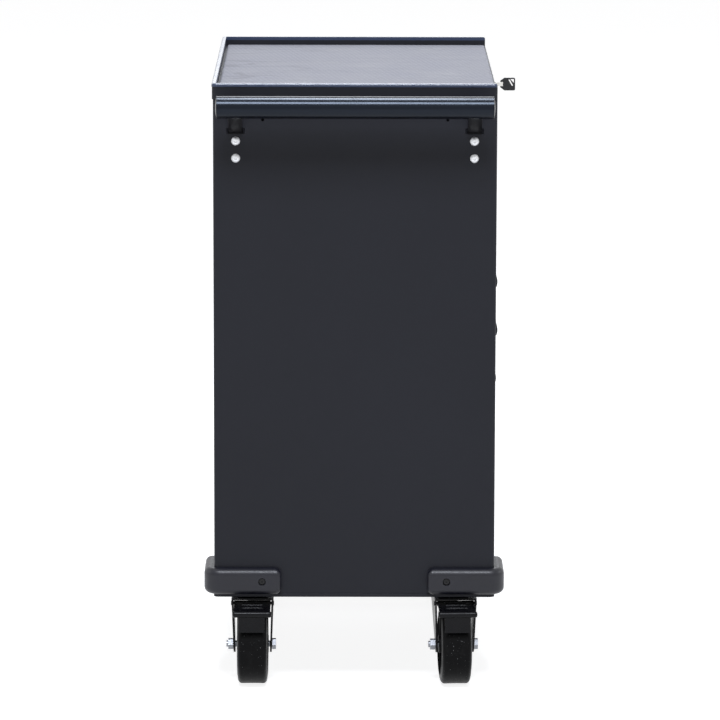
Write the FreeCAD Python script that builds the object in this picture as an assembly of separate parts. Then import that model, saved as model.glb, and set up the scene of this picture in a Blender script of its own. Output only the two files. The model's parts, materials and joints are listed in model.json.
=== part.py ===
import FreeCAD, Part
import math
import os

# Rolling tool cabinet with seven drawers, a side push handle and four wheels.
# Millimetres. The shapes are drawn about the middle of the cabinet body: +X to
# the right as one faces the drawers, -Y towards the person who opens them and
# +Z up from the floor. The handle is on the left side, which is -X. At the end
# every shape is moved so that the origin is the bottom centre of the whole box.

os.makedirs("parts", exist_ok=True)

# Cabinet body
body_length = 680.0
body_depth = 446.0
sheet = 1.0
bend_radius = 5.0
post_width = 40.0
post_lip = 15.0
rear_return = 20.0
end_flange = 18.0

# Base pan, which stands on the casters
caster_height = 151.3
base_thickness = 1.5
base_lip_drop = 3.8
base_reach = 0.8
base_corner_radius = 8.0

# Rails above and below the drawers
bottom_rail_height = 45.7
lock_rail_height = 56.5
rail_depth = 15.0

# Drawers, counted from the top
shallow_front = 75.0
deep_front = 152.3
shallow_count = 5
deep_count = 2
front_gap = 2.3
top_gap = 3.1
bottom_gap = 2.4
side_gap = 2.0
front_setback = 13.0
front_fold = 10.0
drawer_length = 400.0
drawer_sheet = 1.0
tray_lift = 6.0
tray_top_room = 12.0
# How far each drawer stands open at rest, from the first one down
drawers_ajar = [0.0, 0.0, 0.0, 2.1, 2.6, 0.9, 0.0]

# Drawer pull, a rolled strip along the top edge of the front
pull_depth = 14.3
pull_height = 25.0
pull_nose_radius = 21.0
pull_wall = 1.6
pull_lip_cut = 4.0
pull_back_wall = 1.2
pull_cap = 2.0

# Three member drawer slides
slide_length = 400.0
slide_height = 35.0
slide_depth = 12.7
slide_wall = 1.2
slide_start = 5.0
slide_rise = 28.5
slide_running_gap = 0.4
outer_flange = 9.5
middle_setback = 2.0
middle_tip_gap = 0.6
inner_clearance = 0.8

# Uprights that carry the slides
upright_width = 26.0
upright_wall = 1.2
upright_offset = 187.3

# Top tray with its rim, and the mat in it
deck_thickness = 1.2
skirt_clearance = 0.3
skirt_drop = 8.8
rim_rise = 15.2
rim_width = 7.0
rim_radius = 3.2
rim_bead_height = 5.5
rim_bead_out = 0.8
mat_thickness = 3.0
mat_edge_gap = 3.0
mat_corner_radius = 6.0

# Side handle
handle_tube_radius = 17.5
bracket_tip_drop = 8.75
handle_tube_wall = 2.0
handle_tube_length = 431.0
handle_standoff = 60.0
handle_rise = 939.8
handle_cap_dome = 2.2
handle_cap_plug = 18.0
bracket_width = 22.0
bracket_thickness = 5.0
bracket_foot_rise = 842.0
bracket_bend_rise = 892.0
slot_side_room = 3.0
slot_room = 1.0
handle_bolt_rises = [852.3, 879.5]
handle_bolt_radius = 4.0
button_head_radius = 7.0
button_head_height = 4.4
button_socket_flats = 5.0

# Two spare holes under the handle
spare_hole_radius = 2.25
spare_hole_spacing = 290.0
spare_hole_rise = 913.0

# Corner bumpers
bumper_gap = 0.5
bumper_height = 42.3
bumper_thickness = 16.0
bumper_side_leg = 122.5
bumper_front_leg = 110.0
bumper_plan_radius = 24.0
bumper_end_radius = 6.0
bumper_top_radius = 11.0
bumper_bottom_radius = 10.0
bumper_screw_inset = 30.2
bumper_screw_rise = 21.7
screw_pocket_radius = 6.0
screw_pocket_depth = 6.0
screw_head_radius = 4.75
screw_head_height = 3.0
screw_radius = 2.5
screw_length = 16.0

# Lock, key and the bar that holds the drawers shut
lock_rise_on_rail = 32.4
lock_flange_radius = 12.0
lock_flange_height = 2.0
lock_flange_chamfer = 0.67
lock_barrel_radius = 9.5
lock_barrel_length = 24.0
lock_hole_clearance = 0.1
lock_nut_flats = 24.0
lock_nut_height = 4.0
plug_radius = 6.0
plug_stand_out = 0.6
cam_thickness = 3.0
cam_gap = 1.0
cam_low_radius = 7.0
bar_lift = 7.0
bar_rod_gap = 0.9
bar_rod_width = 3.0
bar_rod_height = 6.0
bar_width = 20.0
bar_thickness = 3.0
bar_wall_gap = 3.0
bar_stud_radius = 2.7
bar_stud_collar = 5.0
bar_slot_width = 6.0
hook_width = 16.0
hook_wall = 1.5
hook_reach = 14.0
hook_tooth_wall = 2.0
striker_reach = 18.0
striker_wall = 1.5
striker_lip_wall = 2.0
striker_lip_height = 12.0
striker_width = 24.0
striker_rise = 40.0
striker_flange_height = 10.0
hook_drop = 2.0
tooth_height = 10.0

key_thickness = 2.0
key_blade_height = 7.0
key_neck_height = 6.0
key_blade_depth = 20.0
key_neck_length = 12.6
key_head_length = 24.4
key_head_height = 20.7
key_head_thickness = 5.0
key_head_corner = 2.5
key_shoulder = 6.8
key_tip_height = 10.4
key_notch_depth = 4.5
key_notch_height = 7.2
key_ring_wall = 2.0
key_ring_length = 6.2
key_ring_height = 6.6
key_slit_width = 2.3
key_slit_lean = 5.8
key_slit_offset = 6.9
key_slit_drop = 0.9
key_slit_height = 10.2

# Casters. Each is drawn with its turning axis at the origin and its wheel
# trailing towards +x, and is then turned and moved to its place.
caster_inset_x = 68.0
caster_inset_y = 62.2
casters_set_back = 1.6
caster_trail = 38.0
front_caster_turn = 3.0
rear_caster_turn = 0.0
plate_length = 105.0
plate_width = 85.0
plate_thickness = 3.0
plate_corner_radius = 8.0
plate_bolt_spacing_x = 80.0
plate_bolt_spacing_y = 60.0
race_radius = 30.0
race_height = 3.2
race_gap = 0.3
fork_race_radius = 27.0
fork_race_height = 2.0
fork_wall = 3.0
fork_top_width = 67.0
fork_low_width = 61.0
fork_nose = 30.0
fork_tail = 60.0
fork_shoulder = 14.0
fork_end_radius = 13.5
kingpin_radius = 6.0
kingpin_head_radius = 9.0
kingpin_head_height = 7.3
running_gap = 0.05
wheel_radius = 63.5
tyre_depth = 13.5
tread_half_width = 17.0
tyre_half_width = 23.7
tyre_seat_half_width = 24.5
tyre_shoulder_drop = 8.5
rim_wall = 6.0
rim_half_width = 21.5
web_half_width = 4.0
hub_radius = 14.0
hub_half_width = 25.5
rib_count = 6
rib_wall = 3.0
rib_half_width = 17.0
axle_radius = 5.0
axle_head_flats = 16.0
axle_head_height = 6.0
axle_nut_height = 8.0
axle_end_beyond_nut = 3.0
pedal_pin_reach = 50.0
pedal_pin_rise = 133.0
pedal_pin_radius = 2.5
pedal_pin_head_radius = 3.8
pedal_pin_head_height = 0.8
pedal_barrel_radius = 4.2
pedal_arm_width = 58.0
pedal_arm_wall = 3.0
pedal_arm_drop = 1.0
pedal_rib_radius = 1.3
pedal_rib_width = 33.0
pedal_rib_reaches = [56.5, 71.0, 86.0]
pedal_bar_reach = 103.0
pedal_bar_rise = 126.5
pedal_bar_radius = 5.0
pedal_bar_width = 62.5
pedal_bar_end_radius = 3.5
shoe_wall = 2.5
shoe_top_width = 42.0
shoe_low_width = 39.0
shoe_bottom_rise = 97.0
mount_bolt_radius = 4.0
mount_bolt_flats = 13.0
mount_bolt_head = 4.4
mount_nut_height = 6.5
hole_clearance = 0.5
screw_clearance = 0.25
cut_past = 1.0
thread_end = 2.0

# Places worked out from the sizes above
half_length = body_length / 2
half_depth = body_depth / 2
base_top = caster_height + base_thickness
bumper_bottom = base_top + bumper_gap
opening_bottom = base_top + bottom_rail_height
front_heights = [shallow_front] * shallow_count + [deep_front] * deep_count
opening_height = bottom_gap + sum(front_heights) + front_gap * (len(front_heights) - 1) + top_gap
opening_top = opening_bottom + opening_height
panel_top = opening_top + lock_rail_height
opening_half = half_length - post_width
deck_top = panel_top + deck_thickness
skirt_out = skirt_clearance + deck_thickness
face_y = -half_depth
front_y = face_y + front_setback
slide_y = front_y + slide_start
drawer_y = front_y + drawer_sheet
drawer_back_y = drawer_y + drawer_length
tray_half = opening_half - slide_depth
wall_y = half_depth - 2 * sheet
handle_x = -half_length - handle_standoff
lock_z = opening_top + lock_rise_on_rail
rod_bottom = lock_z + cam_low_radius + bar_rod_gap
bar_back_y = wall_y - bar_wall_gap
bar_face_y = bar_back_y - bar_thickness
cam_y = face_y + lock_barrel_length + cam_gap
caster_x = half_length - caster_inset_x
caster_y = half_depth - caster_inset_y
crown_top = caster_height - plate_thickness - race_height - race_gap - fork_race_height


def vec(x, y, z):
    return FreeCAD.Vector(x, y, z)


def box(x0, x1, y0, y1, z0, z1):
    """A block between two corners."""
    return Part.makeBox(x1 - x0, y1 - y0, z1 - z0, vec(x0, y0, z0))


def rod(radius, start, axis, length):
    """A round bar from a point along an axis."""
    return Part.makeCylinder(radius, length, start, axis)


def hexagon(flats, start, axis, length):
    """A six sided prism with two flats square to +Z, or to +Y where it stands upright."""
    corner = flats / math.sqrt(3)
    points = []
    for side in range(7):
        angle = math.radians(60 * side)
        across = corner * math.sin(angle)
        along = corner * math.cos(angle)
        if abs(axis.z) > 0.5:
            points.append(start + vec(along, across, 0))
        elif abs(axis.y) > 0.5:
            points.append(start + vec(along, 0, across))
        else:
            points.append(start + vec(0, along, across))
    return Part.Face(Part.makePolygon(points)).extrude(axis * length)


def plate_xz(points, y0, y1):
    """A flat plate with an outline in X and Z, from y0 to y1."""
    corners = [vec(x, y0, z) for x, z in points]
    corners.append(corners[0])
    return Part.Face(Part.makePolygon(corners)).extrude(vec(0, y1 - y0, 0))


def plate_yz(points, x0, x1):
    """A flat plate with an outline in Y and Z, from x0 to x1."""
    corners = [vec(x0, y, z) for y, z in points]
    corners.append(corners[0])
    return Part.Face(Part.makePolygon(corners)).extrude(vec(x1 - x0, 0, 0))


def join(shapes):
    """Several shapes that touch, as one clean solid."""
    joined = shapes[0].multiFuse(shapes[1:])
    return joined.removeSplitter()


def round_upright(shape, places, radius):
    """Rounds the upright edges that stand at the given X and Y places."""
    chosen = []
    for edge in shape.Edges:
        first = edge.Vertexes[0].Point
        last = edge.Vertexes[-1].Point
        upright = abs(first.x - last.x) < 1e-6 and abs(first.y - last.y) < 1e-6
        if upright and any(abs(first.x - x) < 1e-3 and abs(first.y - y) < 1e-3 for x, y in places):
            chosen.append(edge)
    return shape.makeFillet(radius, chosen)


def level_edges(shape, z):
    """The edges that lie in the level plane at z."""
    chosen = []
    for edge in shape.Edges:
        if abs(edge.BoundBox.ZMin - z) < 1e-3 and abs(edge.BoundBox.ZMax - z) < 1e-3:
            chosen.append(edge)
    return chosen


def mirror_x(shape):
    return shape.mirror(vec(0, 0, 0), vec(1, 0, 0))


def mirror_y(shape):
    return shape.mirror(vec(0, 0, 0), vec(0, 1, 0))


def mirror_both(shape):
    return mirror_y(mirror_x(shape))


# Cabinet body
def side_panel():
    """The left side: one folded sheet with its front post, rear return and end flanges."""
    corners = [(-half_length, -half_depth), (-half_length, half_depth)]
    outer = box(-half_length, -opening_half, -half_depth, half_depth, base_top, panel_top)
    outer = round_upright(outer, corners, bend_radius)
    hollow = box(-half_length + sheet, -opening_half + sheet, -half_depth + sheet,
                 half_depth - sheet, base_top - sheet, panel_top + sheet)
    inner_corners = [(-half_length + sheet, -half_depth + sheet),
                     (-half_length + sheet, half_depth - sheet)]
    hollow = round_upright(hollow, inner_corners, bend_radius - sheet)
    rear_trim = box(-half_length + rear_return, -opening_half + sheet, half_depth - 2 * sheet,
                    half_depth + sheet, base_top - sheet, panel_top + sheet)
    lip = box(-opening_half - sheet, -opening_half, face_y, face_y + post_lip, base_top, panel_top)
    shell = outer.cut(hollow).cut(rear_trim)
    flange_plan = [-half_length + sheet, -half_length + end_flange, face_y + bend_radius,
                   half_depth - bend_radius]
    foot = box(*flange_plan, base_top, base_top + sheet)
    head = box(*flange_plan, panel_top - sheet, panel_top)
    return join([shell, lip, foot, head])


def handle_slots():
    """The slots that the handle brackets come out of."""
    slots = []
    slope = bracket_slope()
    low = bracket_bend_rise - slot_room
    high = bracket_bend_rise + bracket_thickness / math.cos(slope) + sheet * math.tan(slope) + slot_room
    for side in (-1, 1):
        y = side * upright_offset
        half = bracket_width / 2 + slot_side_room
        slots.append(box(-half_length - sheet, -half_length + 2 * sheet, y - half, y + half, low, high))
    return slots


def handle_bolt_holes():
    holes = []
    for side in (-1, 1):
        for rise in handle_bolt_rises:
            start = vec(-half_length - sheet, side * upright_offset, rise)
            holes.append(rod(handle_bolt_radius + hole_clearance, start, vec(1, 0, 0),
                             bracket_thickness + 3 * sheet))
    return holes


def spare_holes():
    holes = []
    for side in (-1, 1):
        start = vec(-half_length - sheet, side * spare_hole_spacing / 2, spare_hole_rise)
        holes.append(rod(spare_hole_radius, start, vec(1, 0, 0), 3 * sheet))
    return holes


def bumper_screw_places():
    """Point on the bumper's outer face and inward direction of the two screws of the left front bumper."""
    z = bumper_bottom + bumper_screw_rise
    side_y = -half_depth - bumper_thickness + bumper_side_leg - bumper_screw_inset
    front_x = -half_length - bumper_thickness + bumper_front_leg - bumper_screw_inset
    on_side = (vec(-half_length - bumper_thickness, side_y, z), vec(1, 0, 0))
    on_front = (vec(front_x, -half_depth - bumper_thickness, z), vec(0, 1, 0))
    return [on_side, on_front]


def bumper_screw_holes(radius, length):
    return [rod(radius, start, axis, length) for start, axis in bumper_screw_places()]


def left_panel():
    reach = bumper_thickness + 2 * sheet
    low_holes = bumper_screw_holes(screw_radius + screw_clearance, reach)
    low_holes += [mirror_y(hole) for hole in low_holes]
    return side_panel().cut(handle_slots() + handle_bolt_holes() + spare_holes() + low_holes)


def right_panel():
    reach = bumper_thickness + 2 * sheet
    low_holes = bumper_screw_holes(screw_radius + screw_clearance, reach)
    low_holes += [mirror_y(hole) for hole in low_holes]
    return mirror_x(side_panel().cut(low_holes))


def bar_stud_rises():
    """Heights of the three studs that guide the lock bar, each midway between two drawers' hooks."""
    bottoms = tray_bottoms()
    return [bottoms[number] - tray_lift - front_gap for number in (1, 4, 5)]


def back_panel():
    half = half_length - bend_radius
    panel = box(-half, half, wall_y, wall_y + sheet, base_top + sheet, panel_top - sheet)
    rivets = [rod(bar_stud_radius, vec(0, wall_y - sheet, z), vec(0, 1, 0),
                  3 * sheet) for z in bar_stud_rises()]
    leg_hole = bumper_screw_places()[1][0]
    for x in (leg_hole.x, -leg_hole.x):
        rivets.append(rod(screw_radius + screw_clearance, vec(x, wall_y - sheet, leg_hole.z), vec(0, 1, 0),
                          3 * sheet))
    return panel.cut(rivets)


def base_pan():
    """A plate with a lip folded down all round, with holes for the caster bolts."""
    x = half_length + base_reach
    y = half_depth + base_reach
    block = box(-x, x, -y, y, caster_height - base_lip_drop, base_top)
    block = round_upright(block, [(-x, -y), (x, -y), (-x, y), (x, y)], base_corner_radius)
    inner_x = x - base_thickness
    inner_y = y - base_thickness
    well = box(-inner_x, inner_x, -inner_y, inner_y, caster_height - 2 * base_lip_drop, caster_height)
    inner = [(side * inner_x, end * inner_y) for side in (-1, 1) for end in (-1, 1)]
    well = round_upright(well, inner, base_corner_radius - base_thickness)
    return block.cut([well] + caster_bolt_holes())


def front_rail(z0, z1):
    """A channel between the two front posts, open towards the back."""
    block = box(-opening_half, opening_half, face_y, face_y + rail_depth, z0, z1)
    hollow = box(-opening_half - cut_past, opening_half + cut_past, face_y + sheet,
                 face_y + rail_depth + cut_past, z0 + sheet, z1 - sheet)
    return block.cut(hollow)


def front_rails():
    top = front_rail(opening_top, panel_top)
    lock_hole = rod(lock_barrel_radius + lock_hole_clearance, vec(0, face_y - sheet, lock_z),
                    vec(0, 1, 0), 3 * sheet)
    bottom = front_rail(base_top, opening_bottom)
    screw_hole = bumper_screw_holes(screw_radius + screw_clearance, bumper_thickness + 2 * sheet)[1]
    return [top.cut(lock_hole), bottom.cut([screw_hole, mirror_x(screw_hole)])]


def slide_uprights():
    """Four channels, one behind each front post and one ahead of each rear return."""
    half = upright_width / 2
    y = -upright_offset
    block = box(-half_length + sheet, -opening_half, y - half, y + half, base_top + sheet,
                panel_top - sheet)
    hollow = box(-half_length, -opening_half - upright_wall, y - half + upright_wall,
                 y + half - upright_wall,
                 base_top, panel_top)
    upright = block.cut(hollow)
    return [upright, mirror_y(upright), mirror_x(upright), mirror_both(upright)]


# Top
def tray_block(out, z0, z1):
    """A block over the body that stands out by the given amount on the left, right and back."""
    x = half_length + out
    y = half_depth + out
    block = box(-x, x, face_y, y, z0, z1)
    block = round_upright(block, [(-x, y), (x, y)], bend_radius + out)
    return round_upright(block, [(-x, face_y), (x, face_y)], bend_radius)


def top_tray():
    """Deck with a skirt and a rolled rim on the left, right and back, open at the front."""
    rim_top = deck_top + rim_rise
    bead_out = skirt_out + rim_bead_out
    bead = tray_block(bead_out, rim_top - rim_bead_height, rim_top)
    bead = bead.makeFillet(rim_radius, level_edges(bead, rim_top))
    block = join([tray_block(skirt_out, panel_top - skirt_drop, rim_top - rim_bead_height), bead])
    body_room = box(-half_length - skirt_clearance, half_length + skirt_clearance, face_y - cut_past,
                    half_depth + skirt_clearance, panel_top - 2 * skirt_drop, panel_top)
    room_corners = [(side * (half_length + skirt_clearance), half_depth + skirt_clearance)
                    for side in (-1, 1)]
    body_room = round_upright(body_room, room_corners, bend_radius + skirt_clearance)
    inner_x = half_length + bead_out - rim_width
    well = box(-inner_x, inner_x, face_y - cut_past, half_depth + bead_out - rim_width, deck_top,
               rim_top + cut_past)
    return block.cut([body_room, well] + rim_hollow(inner_x, rim_top))


def rim_hollow(inner_x, rim_top):
    """The room inside the rolled rim, open to below beside the cabinet's top edge."""
    wall = deck_thickness
    ceiling = rim_top - wall
    inner_y = half_depth + skirt_out + rim_bead_out - rim_width
    left = box(-half_length - skirt_clearance, -inner_x - wall, face_y + rim_width, inner_y,
               panel_top - cut_past, ceiling)
    back = box(-inner_x, inner_x, inner_y + wall, half_depth + skirt_clearance, panel_top - cut_past,
               ceiling)
    return [left, mirror_x(left), back]


def top_mat():
    x = half_length + skirt_out + rim_bead_out - rim_width - mat_edge_gap
    y0 = -half_depth + mat_edge_gap / 2
    y1 = half_depth + skirt_out + rim_bead_out - rim_width - mat_edge_gap
    mat = box(-x, x, y0, y1, deck_top, deck_top + mat_thickness)
    corners = [(-x, y0), (x, y0), (-x, y1), (x, y1)]
    return round_upright(mat, corners, mat_corner_radius)


# Handle
def handle_tube():
    start = vec(handle_x, -handle_tube_length / 2, handle_rise)
    outer = rod(handle_tube_radius, start, vec(0, 1, 0), handle_tube_length)
    bore = rod(handle_tube_radius - handle_tube_wall, start, vec(0, 1, 0), handle_tube_length)
    return outer.cut(bore)


def handle_end_cap():
    """A plug with a low dome, at the rear end of the tube."""
    end = handle_tube_length / 2
    bore = handle_tube_radius - handle_tube_wall
    start = vec(handle_x, end - handle_cap_plug, handle_rise)
    plug = rod(bore, start, vec(0, 1, 0), handle_cap_plug)
    sphere_radius = (handle_tube_radius ** 2 + handle_cap_dome ** 2) / (2 * handle_cap_dome)
    ball = Part.makeSphere(sphere_radius,
                           vec(handle_x, end + handle_cap_dome - sphere_radius, handle_rise))
    disc = rod(handle_tube_radius, vec(handle_x, end, handle_rise), vec(0, 1, 0),
               handle_cap_dome + cut_past)
    return join([plug, disc.common(ball)])


def bracket_tip_rise():
    """Height at which the bracket's lower face would meet the plane of the tube's axis."""
    return handle_rise - bracket_tip_drop


def bracket_slope():
    """Angle of the bracket's arm above the level."""
    return math.atan2(bracket_tip_rise() - bracket_bend_rise, -half_length + sheet - handle_x)


def bracket(y):
    """A bent flat bar: a leg behind the panel, then an arm out to the underside of the tube."""
    inner = -half_length + sheet
    t = bracket_thickness
    tip_x = handle_x
    tip_z = bracket_tip_rise()
    bend_z = bracket_bend_rise
    slope = bracket_slope()
    lift = t / math.cos(slope)
    shift = t * math.tan(math.pi / 4 - slope / 2)
    outline = [
        (inner, bracket_foot_rise),
        (inner + t, bracket_foot_rise),
        (inner + t, bend_z + shift),
        (tip_x, tip_z + lift),
        (tip_x, tip_z),
        (inner, bend_z),
    ]
    bar = plate_xz(outline, y - bracket_width / 2, y + bracket_width / 2)
    tube = rod(handle_tube_radius, vec(handle_x, y - bracket_width, handle_rise), vec(0, 1, 0),
               2 * bracket_width)
    return bar.cut([tube] + handle_bolt_holes())


def handle_bolt(y, rise):
    """Button head bolt through the panel and bracket, with its nut inside."""
    face = -half_length
    sphere_radius = (button_head_radius ** 2 + button_head_height ** 2) / (2 * button_head_height)
    ball = Part.makeSphere(sphere_radius, vec(face - button_head_height + sphere_radius, y, rise))
    disc = rod(button_head_radius, vec(face - button_head_height - cut_past, y, rise), vec(1, 0, 0),
               button_head_height + cut_past)
    nut_face = face + sheet + bracket_thickness
    shank = rod(handle_bolt_radius, vec(face, y, rise), vec(1, 0, 0),
                sheet + bracket_thickness + mount_nut_height + thread_end)
    socket = hexagon(button_socket_flats, vec(face - button_head_height, y, rise), vec(1, 0, 0),
                     button_head_height / 2)
    bolt = join([disc.common(ball), shank]).cut(socket)
    nut = hexagon(mount_bolt_flats, vec(nut_face, y, rise), vec(1, 0, 0), mount_nut_height)
    nut = nut.cut(rod(handle_bolt_radius, vec(nut_face, y, rise), vec(1, 0, 0), mount_nut_height))
    return [bolt, nut]


def handle_bolts():
    pieces = []
    for side in (-1, 1):
        for rise in handle_bolt_rises:
            pieces += handle_bolt(side * upright_offset, rise)
    return pieces


# Bumpers
def bumper():
    """The left front bumper: an L that wraps the corner, with rounded edges and two screw pockets."""
    x0 = -half_length - bumper_thickness
    y0 = -half_depth - bumper_thickness
    x1 = x0 + bumper_front_leg
    y1 = y0 + bumper_side_leg
    z1 = bumper_bottom + bumper_height
    block = box(x0, x1, y0, y1, bumper_bottom, z1)
    block = round_upright(block, [(x0, y0)], bumper_plan_radius)
    block = round_upright(block, [(x0, y1), (x1, y0)], bumper_end_radius)
    top = [edge for edge in level_edges(block, z1)
           if edge.BoundBox.XMin < x1 - 1 and edge.BoundBox.YMin < y1 - 1]
    block = block.makeFillet(bumper_top_radius, top)
    low = [edge for edge in level_edges(block, bumper_bottom)
           if edge.BoundBox.XMin < x1 - 1 and edge.BoundBox.YMin < y1 - 1]
    block = block.makeFillet(bumper_bottom_radius, low)
    room = box(-half_length, half_length, -half_depth, half_depth, bumper_bottom - cut_past, z1 + cut_past)
    room = round_upright(room, [(-half_length, -half_depth)], bend_radius)
    pockets = bumper_screw_holes(screw_pocket_radius, screw_pocket_depth)
    bores = bumper_screw_holes(screw_radius + screw_clearance, bumper_thickness + cut_past)
    return block.cut([room] + pockets + bores)


def bumper_screws():
    screws = []
    for start, axis in bumper_screw_places():
        seat = start + axis * (screw_pocket_depth - screw_head_height)
        head = rod(screw_head_radius, seat, axis, screw_head_height)
        shank = rod(screw_radius, seat, axis, screw_head_height + screw_length)
        socket = rod(screw_radius / 2, seat, axis, screw_head_height / 2)
        screws.append(join([head, shank]).cut(socket))
    return screws


def at_four_corners(shapes):
    placed = []
    for shape in shapes:
        placed += [shape, mirror_x(shape), mirror_y(shape), mirror_both(shape)]
    return placed


# Drawers
def front_bottoms():
    """Height of the bottom edge of each drawer front, from the first drawer down."""
    places = []
    top = opening_top - top_gap
    for height in front_heights:
        places.append(top - height)
        top = top - height - front_gap
    return places


def tray_bottoms():
    return [bottom + tray_lift for bottom in front_bottoms()]


def drawer_tray(z0, wall_height):
    """Open box folded from one sheet."""
    outer = box(-tray_half, tray_half, drawer_y, drawer_back_y, z0, z0 + wall_height)
    t = drawer_sheet
    hollow = box(-tray_half + t, tray_half - t, drawer_y + t, drawer_back_y - t, z0 + t,
                 z0 + wall_height + cut_past)
    return outer.cut(hollow)


def striker(z0):
    """Bent strip on the drawer's back with a flange, a ledge and the lip that the lock bar catches."""
    ledge_top = z0 + striker_rise
    half = striker_width / 2
    end = drawer_back_y + striker_reach
    flange = box(-half, half, drawer_back_y, drawer_back_y + striker_wall, ledge_top - striker_wall,
                 ledge_top + striker_flange_height)
    ledge = box(-half, half, drawer_back_y, end, ledge_top - striker_wall, ledge_top)
    lip = box(-half, half, end - striker_lip_wall, end, ledge_top - striker_lip_height, ledge_top)
    return join([flange, ledge, lip])


def drawer_front(z0, height):
    """Face sheet with its top and bottom edges folded back."""
    half = opening_half - side_gap
    block = box(-half, half, front_y, front_y + front_fold, z0, z0 + height)
    hollow = box(-half - cut_past, half + cut_past, front_y + drawer_sheet,
                 front_y + front_fold + cut_past,
                 z0 + drawer_sheet, z0 + height - drawer_sheet)
    return block.cut(hollow)


def channel(web_x, depth, half_height, wall, z):
    """A slide member on the left: its web at web_x, its flanges towards +X if depth is positive."""
    y1 = slide_y + slide_length
    x0, x1 = sorted((web_x, web_x + depth))
    block = box(x0, x1, slide_y, y1, z - half_height, z + half_height)
    if depth > 0:
        hollow = box(x0 + wall, x1 + cut_past, slide_y - cut_past, y1 + cut_past, z - half_height + wall,
                     z + half_height - wall)
    else:
        hollow = box(x0 - cut_past, x1 - wall, slide_y - cut_past, y1 + cut_past, z - half_height + wall,
                     z + half_height - wall)
    return block.cut(hollow)


def slide_outer(z):
    return channel(-opening_half, outer_flange, slide_height / 2, slide_wall, z)


def slide_middle(z):
    half = slide_height / 2 - slide_wall - slide_running_gap
    tip = slide_depth - slide_wall - middle_tip_gap
    return channel(-opening_half + middle_setback, tip - middle_setback, half, slide_wall, z)


def slide_inner(z):
    half = slide_height / 2 - 2 * slide_wall - 2 * slide_running_gap
    reach = slide_depth - middle_setback - slide_wall - inner_clearance
    return channel(-tray_half, -reach, half, slide_wall, z)


def slide_rises():
    return [bottom + slide_rise for bottom in tray_bottoms()]


def drawer(index):
    """Folded box, its striker, its front and the two slide members that are fixed to it."""
    z0 = tray_bottoms()[index]
    wall_height = front_heights[index] - tray_lift - tray_top_room
    runner = slide_inner(slide_rises()[index])
    pieces = [drawer_tray(z0, wall_height), striker(z0)]
    pieces.append(drawer_front(front_bottoms()[index], front_heights[index]))
    pieces += [runner, mirror_x(runner)]
    return pieces


def pull_section(x, filled):
    """Face of the pull at x: web on the front, flat top, round nose and a lip, hollow or filled."""
    top = 0.0
    nose = -pull_height / 2
    low = -pull_height + pull_lip_cut
    outer_radius = pull_nose_radius
    inner_radius = pull_nose_radius - pull_wall
    centre_d = pull_depth - outer_radius

    def nose_point(radius, z):
        """Distance from the front and height of a point on the nose."""
        return vec(x, -(centre_d + math.sqrt(radius ** 2 - (z - nose) ** 2)), z)

    top_out = nose_point(outer_radius, top)
    low_out = nose_point(outer_radius, low)
    low_in = nose_point(inner_radius, low)
    top_in = nose_point(inner_radius, top - pull_wall)
    outer_arc = Part.Arc(top_out, nose_point(outer_radius, nose), low_out).toShape()
    inner_arc = Part.Arc(low_in, nose_point(inner_radius, nose), top_in).toShape()
    web_top = vec(x, -pull_back_wall, top - pull_wall)
    web_low = vec(x, -pull_back_wall, -pull_height)
    back_low = vec(x, 0, -pull_height)
    back_top = vec(x, 0, top)
    if filled:
        outline = [outer_arc, Part.makeLine(low_out, back_low), Part.makeLine(back_low, back_top),
                   Part.makeLine(back_top, top_out)]
    else:
        outline = [outer_arc, Part.makeLine(low_out, low_in), inner_arc, Part.makeLine(top_in, web_top),
                   Part.makeLine(web_top, web_low), Part.makeLine(web_low, back_low),
                   Part.makeLine(back_low, back_top), Part.makeLine(back_top, top_out)]
    return Part.Face(Part.Wire(outline))


def pull(index):
    """Extruded strip with a closing cap at each end."""
    half = opening_half - side_gap
    place = vec(0, front_y, front_bottoms()[index] + front_heights[index])
    strip = pull_section(-half + pull_cap, False).extrude(vec(2 * (half - pull_cap), 0, 0))
    cap = pull_section(-half, True).extrude(vec(pull_cap, 0, 0))
    pieces = [strip, cap, mirror_x(cap)]
    return [piece.translated(place) for piece in pieces]


# Lock
def lock_cylinder():
    """Fixed barrel with its flange outside the rail, and the nut behind."""
    axis = vec(0, 1, 0)
    flange = rod(lock_flange_radius, vec(0, face_y - lock_flange_height, lock_z), axis, lock_flange_height)
    rim_edges = [edge for edge in flange.Edges if edge.BoundBox.YMax < face_y - lock_flange_height / 2]
    flange = flange.makeChamfer(lock_flange_chamfer, rim_edges)
    barrel = rod(lock_barrel_radius, vec(0, face_y, lock_z), axis, lock_barrel_length)
    bore = rod(plug_radius + running_gap, vec(0, face_y - 2 * lock_flange_height, lock_z), axis,
               2 * lock_barrel_length)
    nut = hexagon(lock_nut_flats, vec(0, face_y + sheet, lock_z), axis, lock_nut_height)
    nut = nut.cut(rod(lock_barrel_radius, vec(0, face_y, lock_z), axis, 2 * lock_nut_height))
    return [join([flange, barrel]).cut(bore), nut]


def plug_front_y():
    return face_y - lock_flange_height - plug_stand_out


def lock_plug():
    """Turning plug with the keyway in front and a snail cam on its back end."""
    axis = vec(0, 1, 0)
    front = plug_front_y()
    core = rod(plug_radius, vec(0, front, lock_z), axis, cam_y - front)
    keyway = box(-key_thickness / 2, key_thickness / 2, front - cut_past, front + key_blade_depth,
                 lock_z - key_blade_height / 2, lock_z + key_blade_height / 2)
    return join([core.cut(keyway), snail_cam()])


def cam_point(turn):
    """A point of the cam's edge: its radius grows steadily over a quarter turn to the left."""
    radius = cam_low_radius + bar_lift * turn / 90
    angle = math.radians(90 + turn)
    return vec(radius * math.cos(angle), cam_y, lock_z + radius * math.sin(angle))


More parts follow.
